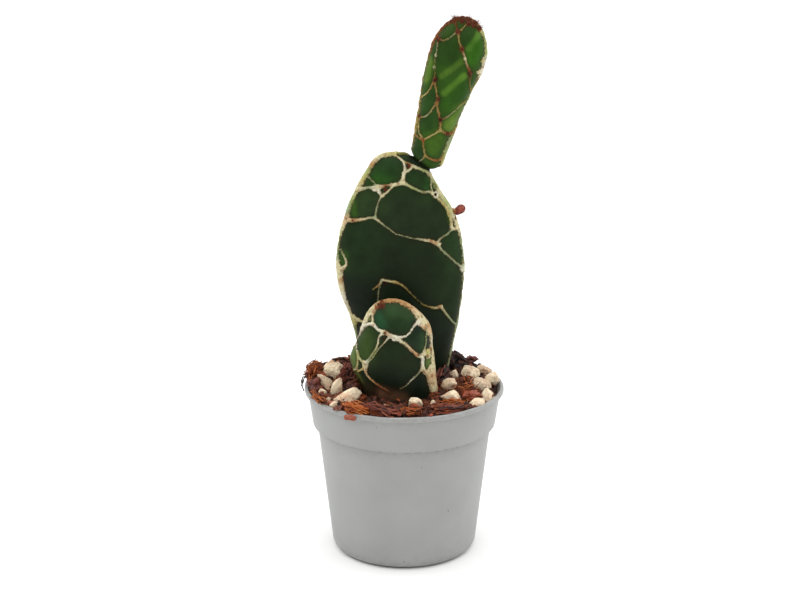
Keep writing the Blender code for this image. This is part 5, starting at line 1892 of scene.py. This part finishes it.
@dataclass
class Pot:
    """The tapered nursery pot, swept round by geometry nodes."""

    height: float = 46.8
    rim_radius: float = 27.5
    lip_height: float = 1.5
    lip_proud: float = 1.0
    collar_foot_z: float = 36.2
    collar_foot_radius: float = 25.2
    body_top_radius: float = 24.0
    foot_radius: float = 19.8
    foot_rounding: float = 2.9
    wall: float = 0.7
    rim_flare: float = 0.7
    foot_recess: float = 0.8
    foot_ring_width: float = 2.4
    drain_count: int = 5
    drain_radius: float = 2.2
    drain_circle: float = 10.5
    segments: int = 192
    waviness: float = 0.09   # the thin lip isn't quite round or level

    def body_radius(self, z: float) -> float:
        """Outer radius of the tapered body."""
        return self.foot_radius + (self.body_top_radius - self.foot_radius) * z / self.collar_foot_z

    def profile(self) -> list[Place]:
        """The wall's closed outline from the floor's underside round the lip to the floor's inside.

        Returns:
            Radius and height of each point.
        """
        lip_foot = self.height - self.lip_height
        neck = self.rim_radius - self.lip_proud
        ring = self.body_radius(0) - self.foot_rounding - self.foot_ring_width
        corner = (self.body_radius(self.foot_rounding) - self.foot_rounding, self.foot_rounding)
        step = self.collar_foot_z
        floor = self.foot_recess + self.wall
        inner = self.foot_rounding - self.wall
        collar = (neck - self.collar_foot_radius) / (lip_foot - step)
        points = [(0.0, self.foot_recess), (ring - 0.6, self.foot_recess),
                  (ring - 0.25, self.foot_recess - 0.2), (ring, 0.05), (ring + 0.25, 0.0)]
        points += arc(corner, self.foot_rounding, -90, 0, 14)
        points += [(self.body_radius(z), z) for z in np.linspace(8, step - 0.9, 8)]
        points += arc((self.body_radius(step) + 0.45, step - 0.55), 0.5, 180, 100, 6)
        points += arc((self.collar_foot_radius - 0.35, step + 0.4), 0.4, -80, 0, 6)
        points += [(self.collar_foot_radius + collar * (z - step), z)
                   for z in np.linspace(step + 1, lip_foot - 0.7, 5)]
        points += arc((neck + 0.35, lip_foot - 0.3), 0.4, 180, 100, 5)
        points += arc((self.rim_radius - 0.4, lip_foot + 0.5), 0.4, -90, 0, 5)
        points += arc((self.rim_radius - 0.45, self.height - 0.45), 0.45, 0, 90, 6)
        points += arc((neck - self.wall + self.rim_flare + 0.35, self.height - 0.35), 0.35, 90, 180, 5)
        points += [(neck - self.wall, lip_foot), (self.collar_foot_radius - self.wall, step + 1.6),
                   (self.body_radius(step) - self.wall, step + 0.4)]
        points += [(self.body_radius(floor + inner) - self.wall, floor + inner),
                   (self.body_radius(floor) - self.wall - inner, floor), (0.0, floor)]
        return points

    def tree(self, numbers: dict[str, float], material: Material) -> Tree:
        """Sweep the outline round the axis, with the lip a little wavy.

        Args:
            numbers: The tree's named inputs.
            material: The plastic's finish.

        Returns:
            The tree.
        """
        tree, given = start_tree("turned pot", numbers)
        make = partial(add_node, tree)
        outline = make("GeometryNodeMeshToCurve", {"Mesh": given["Geometry"]})
        ring = make("GeometryNodeCurvePrimitiveCircle",
                    {"Resolution": given["Segments"], "Radius": given["Radius"]})
        level = make("GeometryNodeSetCurveNormal", {"Curve": ring}, mode="Z_UP")
        swept = make("GeometryNodeCurveToMesh", {"Curve": level, "Profile Curve": outline})
        where = make("GeometryNodeInputPosition")
        parts = make("ShaderNodeSeparateXYZ", {0: where})
        rise = make("ShaderNodeMapRange",
                    {"Value": parts.outputs["Z"], "From Min": 40 * MM, "From Max": 46 * MM})
        wave = make("ShaderNodeTexNoise", {"Vector": where, "Scale": 1 / (16 * MM), "Detail": 1.0})
        centred = make("ShaderNodeVectorMath", {0: wave.outputs["Color"], 1: (0.5, 0.5, 0.5)},
                       operation="SUBTRACT")
        amount = make("ShaderNodeMath", {0: rise, 1: given["Waviness"]}, operation="MULTIPLY")
        shift = make("ShaderNodeVectorMath", {0: centred, "Scale": amount}, operation="SCALE")
        bent = make("GeometryNodeSetPosition", {"Geometry": swept, "Offset": shift})
        welded = make("GeometryNodeMergeByDistance", {"Geometry": bent, "Distance": 0.002 * MM})
        smooth = make("GeometryNodeSetShadeSmooth", {"Geometry": welded})
        end_tree(tree, smooth, material)
        return tree

    def build(self, material: Material) -> Object:
        """Sweep the pot, drill its drain holes and mark where dust and painted shade lie.

        Args:
            material: The plastic's finish.

        Returns:
            The pot's object.
        """
        path_radius = 12.0
        outline = [(radius - path_radius, -height, 0.0) for radius, height in self.profile()]
        thing = make_object("moulded_pot", outline, [], edges=[(k, k + 1) for k in range(len(outline) - 1)])
        numbers = {"Segments": self.segments, "Radius": path_radius * MM, "Waviness": 6 * self.waviness * MM}
        run_tree(thing, self.tree(numbers, material), numbers)
        face_outwards(thing)
        for k in range(self.drain_count):
            self.drill(thing, math.tau * (k + 0.5) / self.drain_count)
        thing.data.set_sharp_from_angle(angle=math.radians(50))
        points = np.array([vert.co for vert in thing.data.vertices]) / MM
        z = points[:, 2]
        outside = self.collar_foot_radius + (z - self.collar_foot_z) * 0.14
        # Painted shade: the inner wall above the soil is darkened fully
        inner = (np.hypot(points[:, 0], points[:, 1]) < outside - 0.35) & (z > 37.5)
        foot = smooth_step(5, 0, z) * 0.35
        lip = smooth_step(43, 46.5, z) * 0.3
        # Painted shade in a band just under the collar's step, where it overhangs the body
        under_step_shade = np.exp(-((z - self.collar_foot_z + 0.3) / 0.5) ** 2) * 0.6
        store(thing, "dust_and_shade", np.maximum.reduce([foot, lip, under_step_shade, inner * 2.5]))
        return thing

    def drill(self, thing: Object, angle: float) -> None:
        """Cut one drain hole through the floor.

        Args:
            thing: The pot.
            angle: The hole's place round the axis.
        """
        bit = bmesh.new()
        x, y = self.drain_circle * math.cos(angle), self.drain_circle * math.sin(angle)
        bmesh.ops.create_cone(bit, cap_ends=True, segments=32, radius1=self.drain_radius,
                              radius2=self.drain_radius, depth=6.0, matrix=Matrix.Translation((x, y, 1.0)))
        tool = from_bmesh("drain drill", bit, None)
        cut = thing.modifiers.new("drain", "BOOLEAN")
        cut.operation, cut.solver, cut.object = "DIFFERENCE", "EXACT", tool
        applied(thing)
        bpy.data.objects.remove(tool)


@dataclass(frozen=True)
class Stone:
    """A pumice stone: its middle, height over the soil, size, turns in degrees and whiteness."""

    x: float
    y: float
    rise: float
    size: Point
    turn: float = 0.0
    tip: float = 0.0         # its right end is raised by so much
    tone: float = 0.85


STONES = [Stone(*row) for row in (
    (-19.6, 2, 1.4, (7.2, 5.8, 6.6), 10, 0, 1.1), (-18.4, -8.6, 1.6, (3.1, 2.8, 7.2), 15, -15, 0.95),
    (-21.1, -4.2, 1.3, (3.3, 3.3, 7.2), -20, 28, 0.8), (-15.4, -13.4, 1, (9.4, 4.6, 4.6), 30, 24, 1.1),
    (-22.2, -8.6, 1.1, (2.6, 2.2, 2.2), 0, 0, 0.95), (18.3, 4.4, 1.6, (5, 4.6, 5.2), -15, 0, 1),
    (13.8, 3.6, 0.9, (2.8, 2.8, 3), 0, 0, 0.95), (12.4, -6, 1.2, (4.6, 4, 4.8), 30, 0, 0.75),
    (12.8, -13.8, 0.9, (5.4, 4, 4.2), -12, 0, 1), (22.2, -11.4, 1.1, (3.2, 3.2, 4.6), 70, 0, 1),
    (19.3, -16.4, 0.9, (5.8, 2.8, 3), 40, 10, 0.9), (20.8, -1.4, 1.4, (6.4, 4.6, 4.6), 14, -6, 0.62),
    (2.9, -18.8, 2.3, (3.8, 3.2, 4.8), 0, 0, 0.95), (-5, -19, 1.3, (2, 1.6, 1.8), 0, 0, 0.3),
    (7.7, -16.6, 1.3, (1.7, 1.4, 2.2), 0, 0, 0.9), (-20.2, -12.9, 0.6, (2.2, 1.7, 1.8), 0, 0, 0.95),
    (-18.6, -17.6, 0.4, (2.8, 2.2, 2.2), 30, 10, 0.9), (23.4, -5.4, 0.8, (2.6, 2.2, 2.4), 10, 8, 0.8),
    (24.2, -8.4, 0.4, (1.8, 1.6, 1.6), 0, 0, 0.9), (-17.4, 9.5, 0.8, (3.4, 3, 3.2), 0, 0, 0.85),
    (24.3, 1.6, 2.2, (4.6, 3.6, 4.2), 20, -6, 0.85), (22.4, 8, 1.5, (5, 3.6, 3.4), -30, -8, 0.4),
)]

CLUMPS = [Lump(*row) for row in (
    ((13.7, 11, 49), (4.6, 5, 6.2), 30, -0.05), ((-24.6, 2.2, 49.8), (5.2, 4.4, 3.8), 20, 0.6),
    ((-16.4, 4.8, 51), (3.2, 2.4, 2), 0, 0.25), ((10.4, 1, 47.6), (3.8, 5.4, 4), 80, 0.1),
    ((10.8, -20.8, 47.2), (7, 3.6, 2.2), 5, 0.4), ((17.2, -18.6, 46.4), (4.6, 2.6, 1.8), 40, 0.35),
    ((3, -21.8, 47.2), (4.4, 3, 2.2), 0, 0.7), ((16.4, -2.2, 47.8), (4.4, 4.6, 2.6), 60, 0.4),
    ((15.4, -9, 47.6), (4.4, 3.6, 2.4), 20, 0.5), ((-13.4, -21.4, 47.3), (5.6, 3.4, 2.6), -20, 1),
    ((-6, -23.2, 47), (8, 3, 2.2), -8, 0.5), ((-15.8, -2, 48.6), (3.6, 4.6, 3.2), 80, 0.35),
    ((-13.2, -9.6, 49.2), (3.8, 3, 3.4), 30, 0.25),
)]

HUSKS = [Lump(*row) for row in (
    ((-24, -4.8, 48), (4.4, 3.8, 4.2), 70, 0.3), ((19, 11.4, 50.2), (2.8, 2.2, 1.8), 10, 0.2),
    ((18, -12.2, 47.9), (4.8, 3.2, 2.2), 15, 0.8), ((-17.2, -20.2, 47), (2.6, 1.8, 1.2), 20, 0.3),
    ((-14.2, -24.1, 45.9), (3.2, 1.4, 1.4), -28, 0.8), ((7, -25.5, 47), (1.2, 1, 0.8), 0, 0.9),
    ((-22.4, -10.4, 46.9), (2.8, 1.8, 2), 0, 0.4),
)]

# Clumps of fibre as seen in front, then the dry ends that hang out at the left and one over the large stone
GUIDES = [Guide(*row) for row in (
    (((-15.4, -20.2, 47.4), (-14, -21.8, 48), (-12, -22.8, 47.8), (-9.4, -23.4, 47.4)), 1.1, 110, 1.1),
    (((-26.2, -1.5, 49.4), (-25.4, 1.5, 51), (-23.6, 4.5, 51.2)), 1.1, 50, 0.65),
    (((10.2, -15.8, 47.6), (13, -17.2, 47.4), (16, -17, 47.2)), 0.7, 50, 0.95),
    (((13.5, -9, 48.2), (16.5, -8.5, 48.6), (19, -7, 48.2)), 1, 35, 0.6),
    (((16, 1, 48.6), (17.5, -2, 48.6), (18.2, -5, 48.4)), 0.9, 30, 0.5),
    (((-20.5, -17.8, 47.2), (-23, -14.4, 47.4), (-24.6, -9.5, 47.6)), 0.6, 40, 0.6),
    (((-2, -21.8, 47.2), (1, -23.2, 47), (5, -24, 46.8)), 0.8, 50, 0.8),
    (((-26, 3, 50.8), (-27.6, 3, 49.9), (-28.3, 0.6, 47), (-28, -1.4, 44.6)), 0.2, 1, -0.2),
    (((-26, -1, 50), (-27.8, -0.5, 49), (-28.1, -3, 47.4)), 0.3, 2, -0.2),
    (((-21.8, 1.1, 52.4), (-19.4, 1.9, 53.4), (-17, 2.9, 53), (-15.8, 3.6, 52)), 0.2, 4, -0.2),
)]

RED_GUIDES = [Guide(*row) for row in (
    (((-11.2, -21.8, 47.8), (-7.7, -23.1, 47.8), (-4.3, -24.4, 47.6), (-1.4, -25, 47.2)), 1, 90, 0.5),
    (((8.8, -2, 48.5), (10.5, 1, 49.2), (11.5, 4, 49.8)), 1.3, 50, 0.3),
    (((6, -22, 47.1), (10.8, -22.2, 47.2), (15.5, -20.4, 47)), 1, 70, 0.45),
    (((-17.5, -3, 49.4), (-15.8, 0.5, 50.2), (-15.5, 4, 51.2)), 1.1, 60, 0.4),
    (((11.6, 9.5, 51.4), (13.6, 10.5, 52.2), (16.2, 11, 50.9), (19, 11, 50.2)), 0.6, 16, -0.1),
    (((-15, -7, 49.4), (-14.2, -9.4, 49.6), (-13, -12, 48.2)), 0.8, 40, 0.2),
)]


@dataclass
class Soil:
    """The coir mix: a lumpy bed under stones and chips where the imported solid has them, and finer litter."""

    level: float = 46.2
    dome: float = 1.6
    radius: float = 26.0
    seed: int = 31
    chip_count: int = 34
    fibres_per_chip: int = 9
    packed_stones: int = 15  # the first of STONES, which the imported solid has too
    hidden_stones: int = 9
    cuts_per_stone: int = 12

    def surface(self, x: float, y: float) -> float:
        """Height of the soil's top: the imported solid's, with a hollow before the small stem.

        Args:
            x: Place across.
            y: Place in depth.

        Returns:
            The height.
        """
        radius = math.hypot(x, y)
        heap = 4.2 * math.exp(-((x + 24) ** 2 + (y - 3) ** 2) / 26)
        dip = 1.6 * math.exp(-((x - 25) ** 2 + (y + 4) ** 2) / 30)
        back = 1.0 * float(smooth_step(2, 16, y))
        rough = 0.9 * noise.noise(Vector((x / 5, y / 5, 3.1)))
        rough += 0.55 * noise.noise(Vector((x / 2.3, y / 2.3, 7.7)))
        hollow = 1.9 * math.exp(-((x + 2.5) ** 2 / 110 + (y + 15.7) ** 2 / 16))
        return self.level + self.dome * (1 - (radius / 26) ** 2) + heap - dip - hollow + back + rough

    def wall_radius(self, z: float) -> float:
        """Radius of the soil where it touches the pot's inside."""
        return float(np.interp(z, [36.6, 37.8, 45.3, 46.5], [23.0, 24.5, 25.5, 26.2]))

    def top_points(self, step: float, rim: float) -> tuple[Array, int]:
        """Points of the soil's top in rings from the rim to the middle, and how many go in a ring.

        Args:
            step: Distance between points.
            rim: Radius of the first ring.

        Returns:
            (x, y) of each point, and the number in a ring.
        """
        rings = round(rim / step)
        segments = round(math.tau * rim / step)
        radii = [rim * (1 - ring / rings) for ring in range(rings)]
        angles = [math.tau * k / segments for k in range(segments)]
        points = [(radius * math.cos(angle), radius * math.sin(angle)) for radius in radii
                  for angle in angles]
        return np.array(points), segments

    def build_bed(self, material: Material) -> Object:
        """The soil's body, lumpy on top and plain where the pot hides it.

        Args:
            material: The coir's finish.

        Returns:
            The bed's object.
        """
        flat, segments = self.top_points(0.5, self.radius)
        height = np.array([self.surface(x, y) for x, y in flat.tolist()])
        height += 0.55 * lumps(flat, 1.6, 4.0) + 0.35 * lumps(flat, 0.8, 11.0)
        rim = slice(0, segments)
        height[rim] = np.maximum(height[rim], 44.8)
        walls = np.array([self.wall_radius(z) for z in height[rim]])
        flat[rim] *= (walls / self.radius)[:, None]
        top = np.column_stack([flat, height])
        middle = [[0.0, 0.0, self.surface(0, 0)]]
        angles = math.tau * np.arange(segments) / segments
        circle = np.stack([np.cos(angles), np.sin(angles)], axis=1)
        lower = [np.column_stack([circle * radius, np.full(segments, z)])
                 for radius, z in ((24.5, 37.8), (23.0, 36.6), (19.4, 4.0), (17.3, 1.9))]
        verts = np.concatenate([top, middle, *lower, [[0.0, 0.0, 1.9]]])
        faces = ring_faces(len(top) // segments, segments)
        last, centre = len(top) - segments, len(top)
        faces += [(last + k, last + (k + 1) % segments, centre) for k in range(segments)]
        upper = list(range(segments))
        for ring in range(len(lower)):
            below = [centre + 1 + ring * segments + k for k in range(segments)]
            faces += [(upper[k], below[k], below[(k + 1) % segments], upper[(k + 1) % segments])
                      for k in range(segments)]
            upper = below
        faces += [(upper[(k + 1) % segments], upper[k], len(verts) - 1) for k in range(segments)]
        thing = make_object("coir_bed", verts, faces, material)
        store(thing, "shade", np.clip(0.1 + 0.4 * lumps(verts, 2.4, 21.0), 0, 1))
        return face_outwards(thing)

    def ground(self) -> Object:
        """A thin copy of the soil's top to strew things over, short of the gap at the right-hand wall.

        Returns:
            The ground's object.
        """
        flat, segments = self.top_points(1.3, self.radius - 0.5)
        inward = smooth_step(17, 23, flat[:, 0]) * smooth_step(9, 4, np.abs(flat[:, 1] + 1))
        flat *= (1 - 0.06 * inward)[:, None]
        verts = np.column_stack([flat, [self.surface(x, y) for x, y in flat.tolist()]])
        return make_object("ground", verts, ring_faces(len(flat) // segments, segments))

    def stone(self, stone: Stone, seed: int) -> tuple[list, list, list]:
        """Points, faces and shades of a chipped stone, darker where it meets the soil.

        Args:
            stone: The stone.
            seed: Picks its shape.

        Returns:
            The three lists.
        """
        mesh = bmesh.new()
        bmesh.ops.create_icosphere(mesh, subdivisions=5 if seed < len(STONES) else 3, radius=0.5)
        rng = random.Random(900 + seed)
        cuts = []
        for k in range(self.cuts_per_stone):
            height, angle = 1 - (2 * k + 1) / self.cuts_per_stone, k * 2.4 + seed
            flat = math.sqrt(1 - height**2)
            way = Vector((flat * math.cos(angle), flat * math.sin(angle), height))
            way += Vector((rng.gauss(0, 0.22), rng.gauss(0, 0.22), rng.gauss(0, 0.22)))
            cuts.append((way.normalized(), rng.uniform(0.36, 0.46)))
        for vert in mesh.verts:
            vert.co *= 1.14 + 0.4 * noise.noise(vert.co * 2.6 + Vector((seed * 3.7, 0, 0)))
            for way, reach in cuts:
                over = vert.co.dot(way) - reach
                if over > 0:
                    vert.co -= way * over * 0.8
            fine = noise.noise(vert.co * 9 + Vector((seed, 0, 0))) * 0.034
            pits = min(0.0, noise.noise(vert.co * 22 + Vector((0, seed, 0))) + 0.15) * 0.03
            vert.co *= 1 + (fine + pits) * 2
        ground = self.surface(stone.x, stone.y)
        place = Matrix.Translation((stone.x, stone.y, ground + stone.rise - 0.2))
        turn = Matrix.Rotation(math.radians(stone.turn), 4, "Z")
        place @= turn @ Matrix.Rotation(-math.radians(stone.tip), 4, "Y")
        place @= Matrix.Rotation(math.radians(seed * 37 % 30), 4, "X") @ Matrix.Diagonal((*stone.size, 1))
        bmesh.ops.transform(mesh, matrix=place, verts=mesh.verts[:])
        verts, faces = taken(mesh)
        stains = lumps(np.array(verts), 2.2, seed * 3.1)
        # Each stone darkens within about a millimetre of the soil line
        shades = [stone.tone + 0.3 * stain - 0.6 * float(smooth_step(1.0, -0.5, v[2] - ground + 0.6 * stain))
                  for v, stain in zip(verts, stains)]
        return verts, faces, shades

    def layout(self) -> tuple[list[Stone], list]:
        """The stones and chips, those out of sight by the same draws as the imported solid's.

        Returns:
            The stones, and x, y, length, yaw and tip of each chip.
        """
        rng = random.Random(self.seed)
        packed = [(stone.x, stone.y) for stone in STONES[:self.packed_stones]]
        hidden = []
        while len(hidden) < self.hidden_stones:
            angle, radius, size = rng.uniform(0.3, 2.8), rng.uniform(12, 21), rng.uniform(2.6, 5.0)
            x, y = radius * math.cos(angle), radius * math.sin(angle)
            if all(math.hypot(x - other[0], y - other[1]) > 4.5 for other in packed):
                packed.append((x, y))
                hidden.append(Stone(x, y, 0.5, (size * 1.2, size, size * 0.9), rng.uniform(0, 90)))
        chips = []
        while len(chips) < self.chip_count:
            angle, radius = rng.uniform(0, math.tau), 22.5 * math.sqrt(rng.random())
            x, y = radius * math.cos(angle), radius * math.sin(angle)
            if abs(x) > 14 or abs(y) > 13:
                length, yaw, tip = rng.uniform(3.0, 5.5), rng.uniform(0, math.tau), rng.uniform(1.2, 1.5)
                chips.append((x, y, length, yaw, tip))
        hump = CLUMPS[0].at
        clear = [stone for stone in hidden if math.hypot(stone.x - hump[0], stone.y - hump[1]) > 6.5]
        return [*STONES, *clear], chips

    def chips(self, chips: list) -> list[tuple]:
        """Torn husk chips: flat bundles of fibre that lie half sunk with one end up.

        Args:
            chips: The chips, as layout gives them.

        Returns:
            One part for each fibre.
        """
        parts = []
        rng = random.Random(77)
        for x, y, length, yaw, tip in chips:
            place = Matrix.Translation((x, y, self.surface(x, y) + 0.25))
            place @= Matrix.Rotation(yaw, 4, "Z") @ Matrix.Rotation(tip - math.pi / 2, 4, "Y")
            for _ in range(self.fibres_per_chip):
                strip, sides = fibre(rng, length * rng.uniform(0.7, 1.05), rng.uniform(0.12, 0.3), 0.3, 3)
                shift = Vector((rng.uniform(-0.5, 0.5), rng.uniform(-0.75, 0.75), rng.uniform(-0.35, 0.35)))
                parts.append(([place @ (Vector(p) + shift) for p in strip], sides,
                              [rng.uniform(-0.1, 0.7)] * len(strip)))
        return parts


@dataclass
class Bud:
    """The red bud on the main stem's right edge: an egg of overlapping scales on a pale areole."""

    foot: Point = (13.75, 6.0, 93.9)
    lean: float = 54.0
    length: float = 3.4
    radius: float = 1.25
    scale_length: float = 0.62
    scales_round: int = 4
    scale_proud: float = 0.16

    def build(self, material: Material) -> Object:
        """Build the bud with its scales raised.

        Args:
            material: The scale's finish.

        Returns:
            The bud's object.
        """
        rings, sides = 48, 64
        heights = [0.0, 0.12, 0.6, 1.9, 2.8, 3.2, self.length]
        radii = [0.35, 0.75, 0.95, self.radius, 1.0, 0.6, 0.0]
        verts = []
        for r in range(rings + 1):
            height = self.length * (1 - math.cos(math.pi * r / rings)) / 2
            plain = float(np.interp(height, heights, radii))
            for k in range(sides):
                angle = math.tau * k / sides
                row = height / self.scale_length
                wave = (angle * self.scales_round / math.tau + 0.5 * math.floor(row)) % 1.0
                scale = (row % 1.0) * (1 - abs(2 * wave - 1)) * self.scale_proud
                radius = plain * (1 + scale) if 0 < r < rings else 0.02
                verts.append((radius * math.cos(angle), radius * math.sin(angle), height))
        ends = [tuple(range(sides))[::-1], tuple(range(rings * sides, len(verts)))]
        faces = ring_faces(rings + 1, sides) + ends
        place = Matrix.Translation(self.foot) @ Matrix.Rotation(math.radians(self.lean), 4, "Y")
        thing = make_object("red_bud", np.array([place @ Vector(v) for v in verts]), faces, material)
        store(thing, "shade", np.clip(0.4 + 0.6 * lumps(np.array(verts), 0.7, 3.0), 0, 1))
        return face_outwards(thing)


BUD_FELT = Lump((13.2, 5.8, 94.5), (1.9, 1.7, 1.5), 0, 0.4)
BUD_HAIRS = Guide(((14.1, 5.2, 94.2), (14.0, 5.0, 93.2), (14.0, 5.0, 92.2)), 0.12, 3, 0.1)


@dataclass
class Studio:
    """A white sweep, soft light from above and both sides, and a long lens."""

    distance: float = 500.0
    elevation: float = 16.5
    target: Point = (-1.14, 0.0, 71.05)
    lens: float = 82.62
    sensor: float = 36.0
    floor_radius: float = 3000.0

    def build(self) -> None:
        """Set the floor, the lights and the camera."""
        scene = bpy.context.scene
        scene.view_settings.view_transform = "Standard"
        scene.view_settings.look = "None"
        world = bpy.data.worlds.new("studio")
        scene.world = world
        world.use_nodes = True
        backdrop = world.node_tree.nodes["Background"]
        backdrop.inputs["Color"].default_value = (1.0, 1.0, 1.0, 1.0)
        backdrop.inputs["Strength"].default_value = 0.3
        mesh = bmesh.new()
        bmesh.ops.create_circle(mesh, cap_ends=True, segments=64, radius=self.floor_radius)
        paint = Finish("white matt sweep", roughness=0.9, gloss=0.1).start()
        paint.shader.inputs["Base Color"].default_value = (*linear("#f7f7f6"), 1.0)
        floor = from_bmesh("floor", mesh, paint.material)
        self.sun("overhead", 3.4, 110)
        self.softbox("left", 0.5, (-420, 120, 260), 300)
        self.softbox("right", 0.5, (420, 120, 240), 300)
        self.camera()

    def sun(self, name: str, strength: float, width: float) -> None:
        """Add a wide even light straight from above.

        Args:
            name: Its name.
            strength: Its strength.
            width: Its angle in the sky, in degrees.
        """
        light = bpy.data.lights.new(name, "SUN")
        light.energy, light.angle = strength, math.radians(width)
        add_object(name, light)

    def softbox(self, name: str, watts: float, at: Point, size: float) -> None:
        """Add a square light that faces the plant.

        Args:
            name: Its name.
            watts: Its power.
            at: Where it stands.
            size: Its side.
        """
        light = bpy.data.lights.new(name, "AREA")
        light.shape, light.size, light.energy = "SQUARE", size * MM, watts
        self.aim(add_object(name, light), Vector(at) * MM)

    def aim(self, thing: Object, place: Vector) -> None:
        """Stand a light or the camera somewhere, in metres, and turn it to the plant."""
        turn = (Vector(self.target) * MM - place).to_track_quat("-Z", "Y")
        thing.matrix_world = Matrix.Translation(place) @ turn.to_matrix().to_4x4()

    def camera(self) -> None:
        """Set the camera at the photograph's angle."""
        lift = math.radians(self.elevation)
        place = Vector(self.target) * MM + Vector((0, -math.cos(lift), math.sin(lift))) * self.distance * MM
        data = bpy.data.cameras.new("camera")
        data.lens, data.sensor_width, data.clip_start = self.lens, self.sensor, 0.01
        thing = add_object("camera", data)
        self.aim(thing, place)
        bpy.context.scene.camera = thing


def report(piece: Object) -> None:
    """Log a finished piece with its size and triangles."""
    piece.data.calc_loop_triangles()
    log.info("%-16s %7d triangles, %s mm", piece.name, len(piece.data.loop_triangles),
             " x ".join(f"{side / MM:.1f}" for side in piece.dimensions))


def set_piece(piece: Object, node: str = "") -> None:
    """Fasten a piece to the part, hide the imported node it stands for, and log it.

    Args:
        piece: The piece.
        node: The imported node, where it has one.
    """
    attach(piece, BODY)
    if node:
        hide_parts(node)
    report(piece)


def main() -> None:
    """Build, dress and fasten every piece."""
    logging.basicConfig(level=logging.INFO, format="%(message)s")
    skin, coir, fibres, pumice = SKIN.build(), COIR.build(), FIBRE.build(), PUMICE.build()
    husk, bristle, scale, felt, plastic = (
        finish.build() for finish in (HUSK, BRISTLE, BUD_SCALE, FELT, POLYPROPYLENE)
    )
    set_piece(Pot().build(plastic), "pot")
    for stem, node in ((MAIN, "main_pad"), (TOP, "top_pad"), (SMALL, "front_pad")):
        set_piece(stem.build(skin), node)
    set_piece(Bud().build(scale), "bud")
    set_piece(joined("bud_felt", [BUD_FELT.part(3, 0.2)], felt))
    set_piece(BUD_WOOL.build("bud_hairs", [BUD_HAIRS], fibres))

    areoles, tip = [], []
    for stem in (MAIN, TOP, SMALL):
        for front, face in ((True, stem.front), (False, stem.back)):
            for spot in face.spots:
                if spot.areole:
                    point, out = stem.place(spot.at, front)
                    young = stem is TOP and spot.at[1] > TIP_FROM
                    (tip if young else areoles).append((point, out, spot.radius))
    set_piece(AREOLE_TUFTS.build("areole_bristles", areoles, bristle))
    set_piece(TIP_TUFTS.build("tip_bristles", tip, bristle))

    soil = Soil()
    stones, chips = soil.layout()
    set_piece(soil.build_bed(coir), "soil")
    set_piece(joined("pumice_stones", [soil.stone(stone, k) for k, stone in enumerate(stones)], pumice))
    set_piece(joined("husk_chips", soil.chips(chips), fibres))
    set_piece(joined("coir_lumps", [lump.part(k, 0.5) for k, lump in enumerate(CLUMPS)], coir))
    set_piece(joined("husk_lumps", [lump.part(k + 40, 0.2) for k, lump in enumerate(HUSKS)], husk))
    set_piece(COIR_BUNDLES.build("fibre_bundles", GUIDES, fibres))
    set_piece(HUSK_BUNDLES.build("husk_bundles", RED_GUIDES, husk))
    rng = random.Random(12)
    for name, make, scatter, finish in (
        ("coir_crumbs", crumb, CRUMBS, coir),
        ("husk_flakes", flake, HUSK_FLAKES, husk),
        ("coir_flakes", flake, COIR_FLAKES, coir),
        ("coir_fibres", loose_fibre, LOOSE_FIBRES, fibres),
    ):
        shapes = [loose(make(rng)) for _ in range(8)]
        set_piece(scatter.build(name, soil.ground(), shapes, finish))

    Studio().build()


if __name__ == "__main__":
    main()
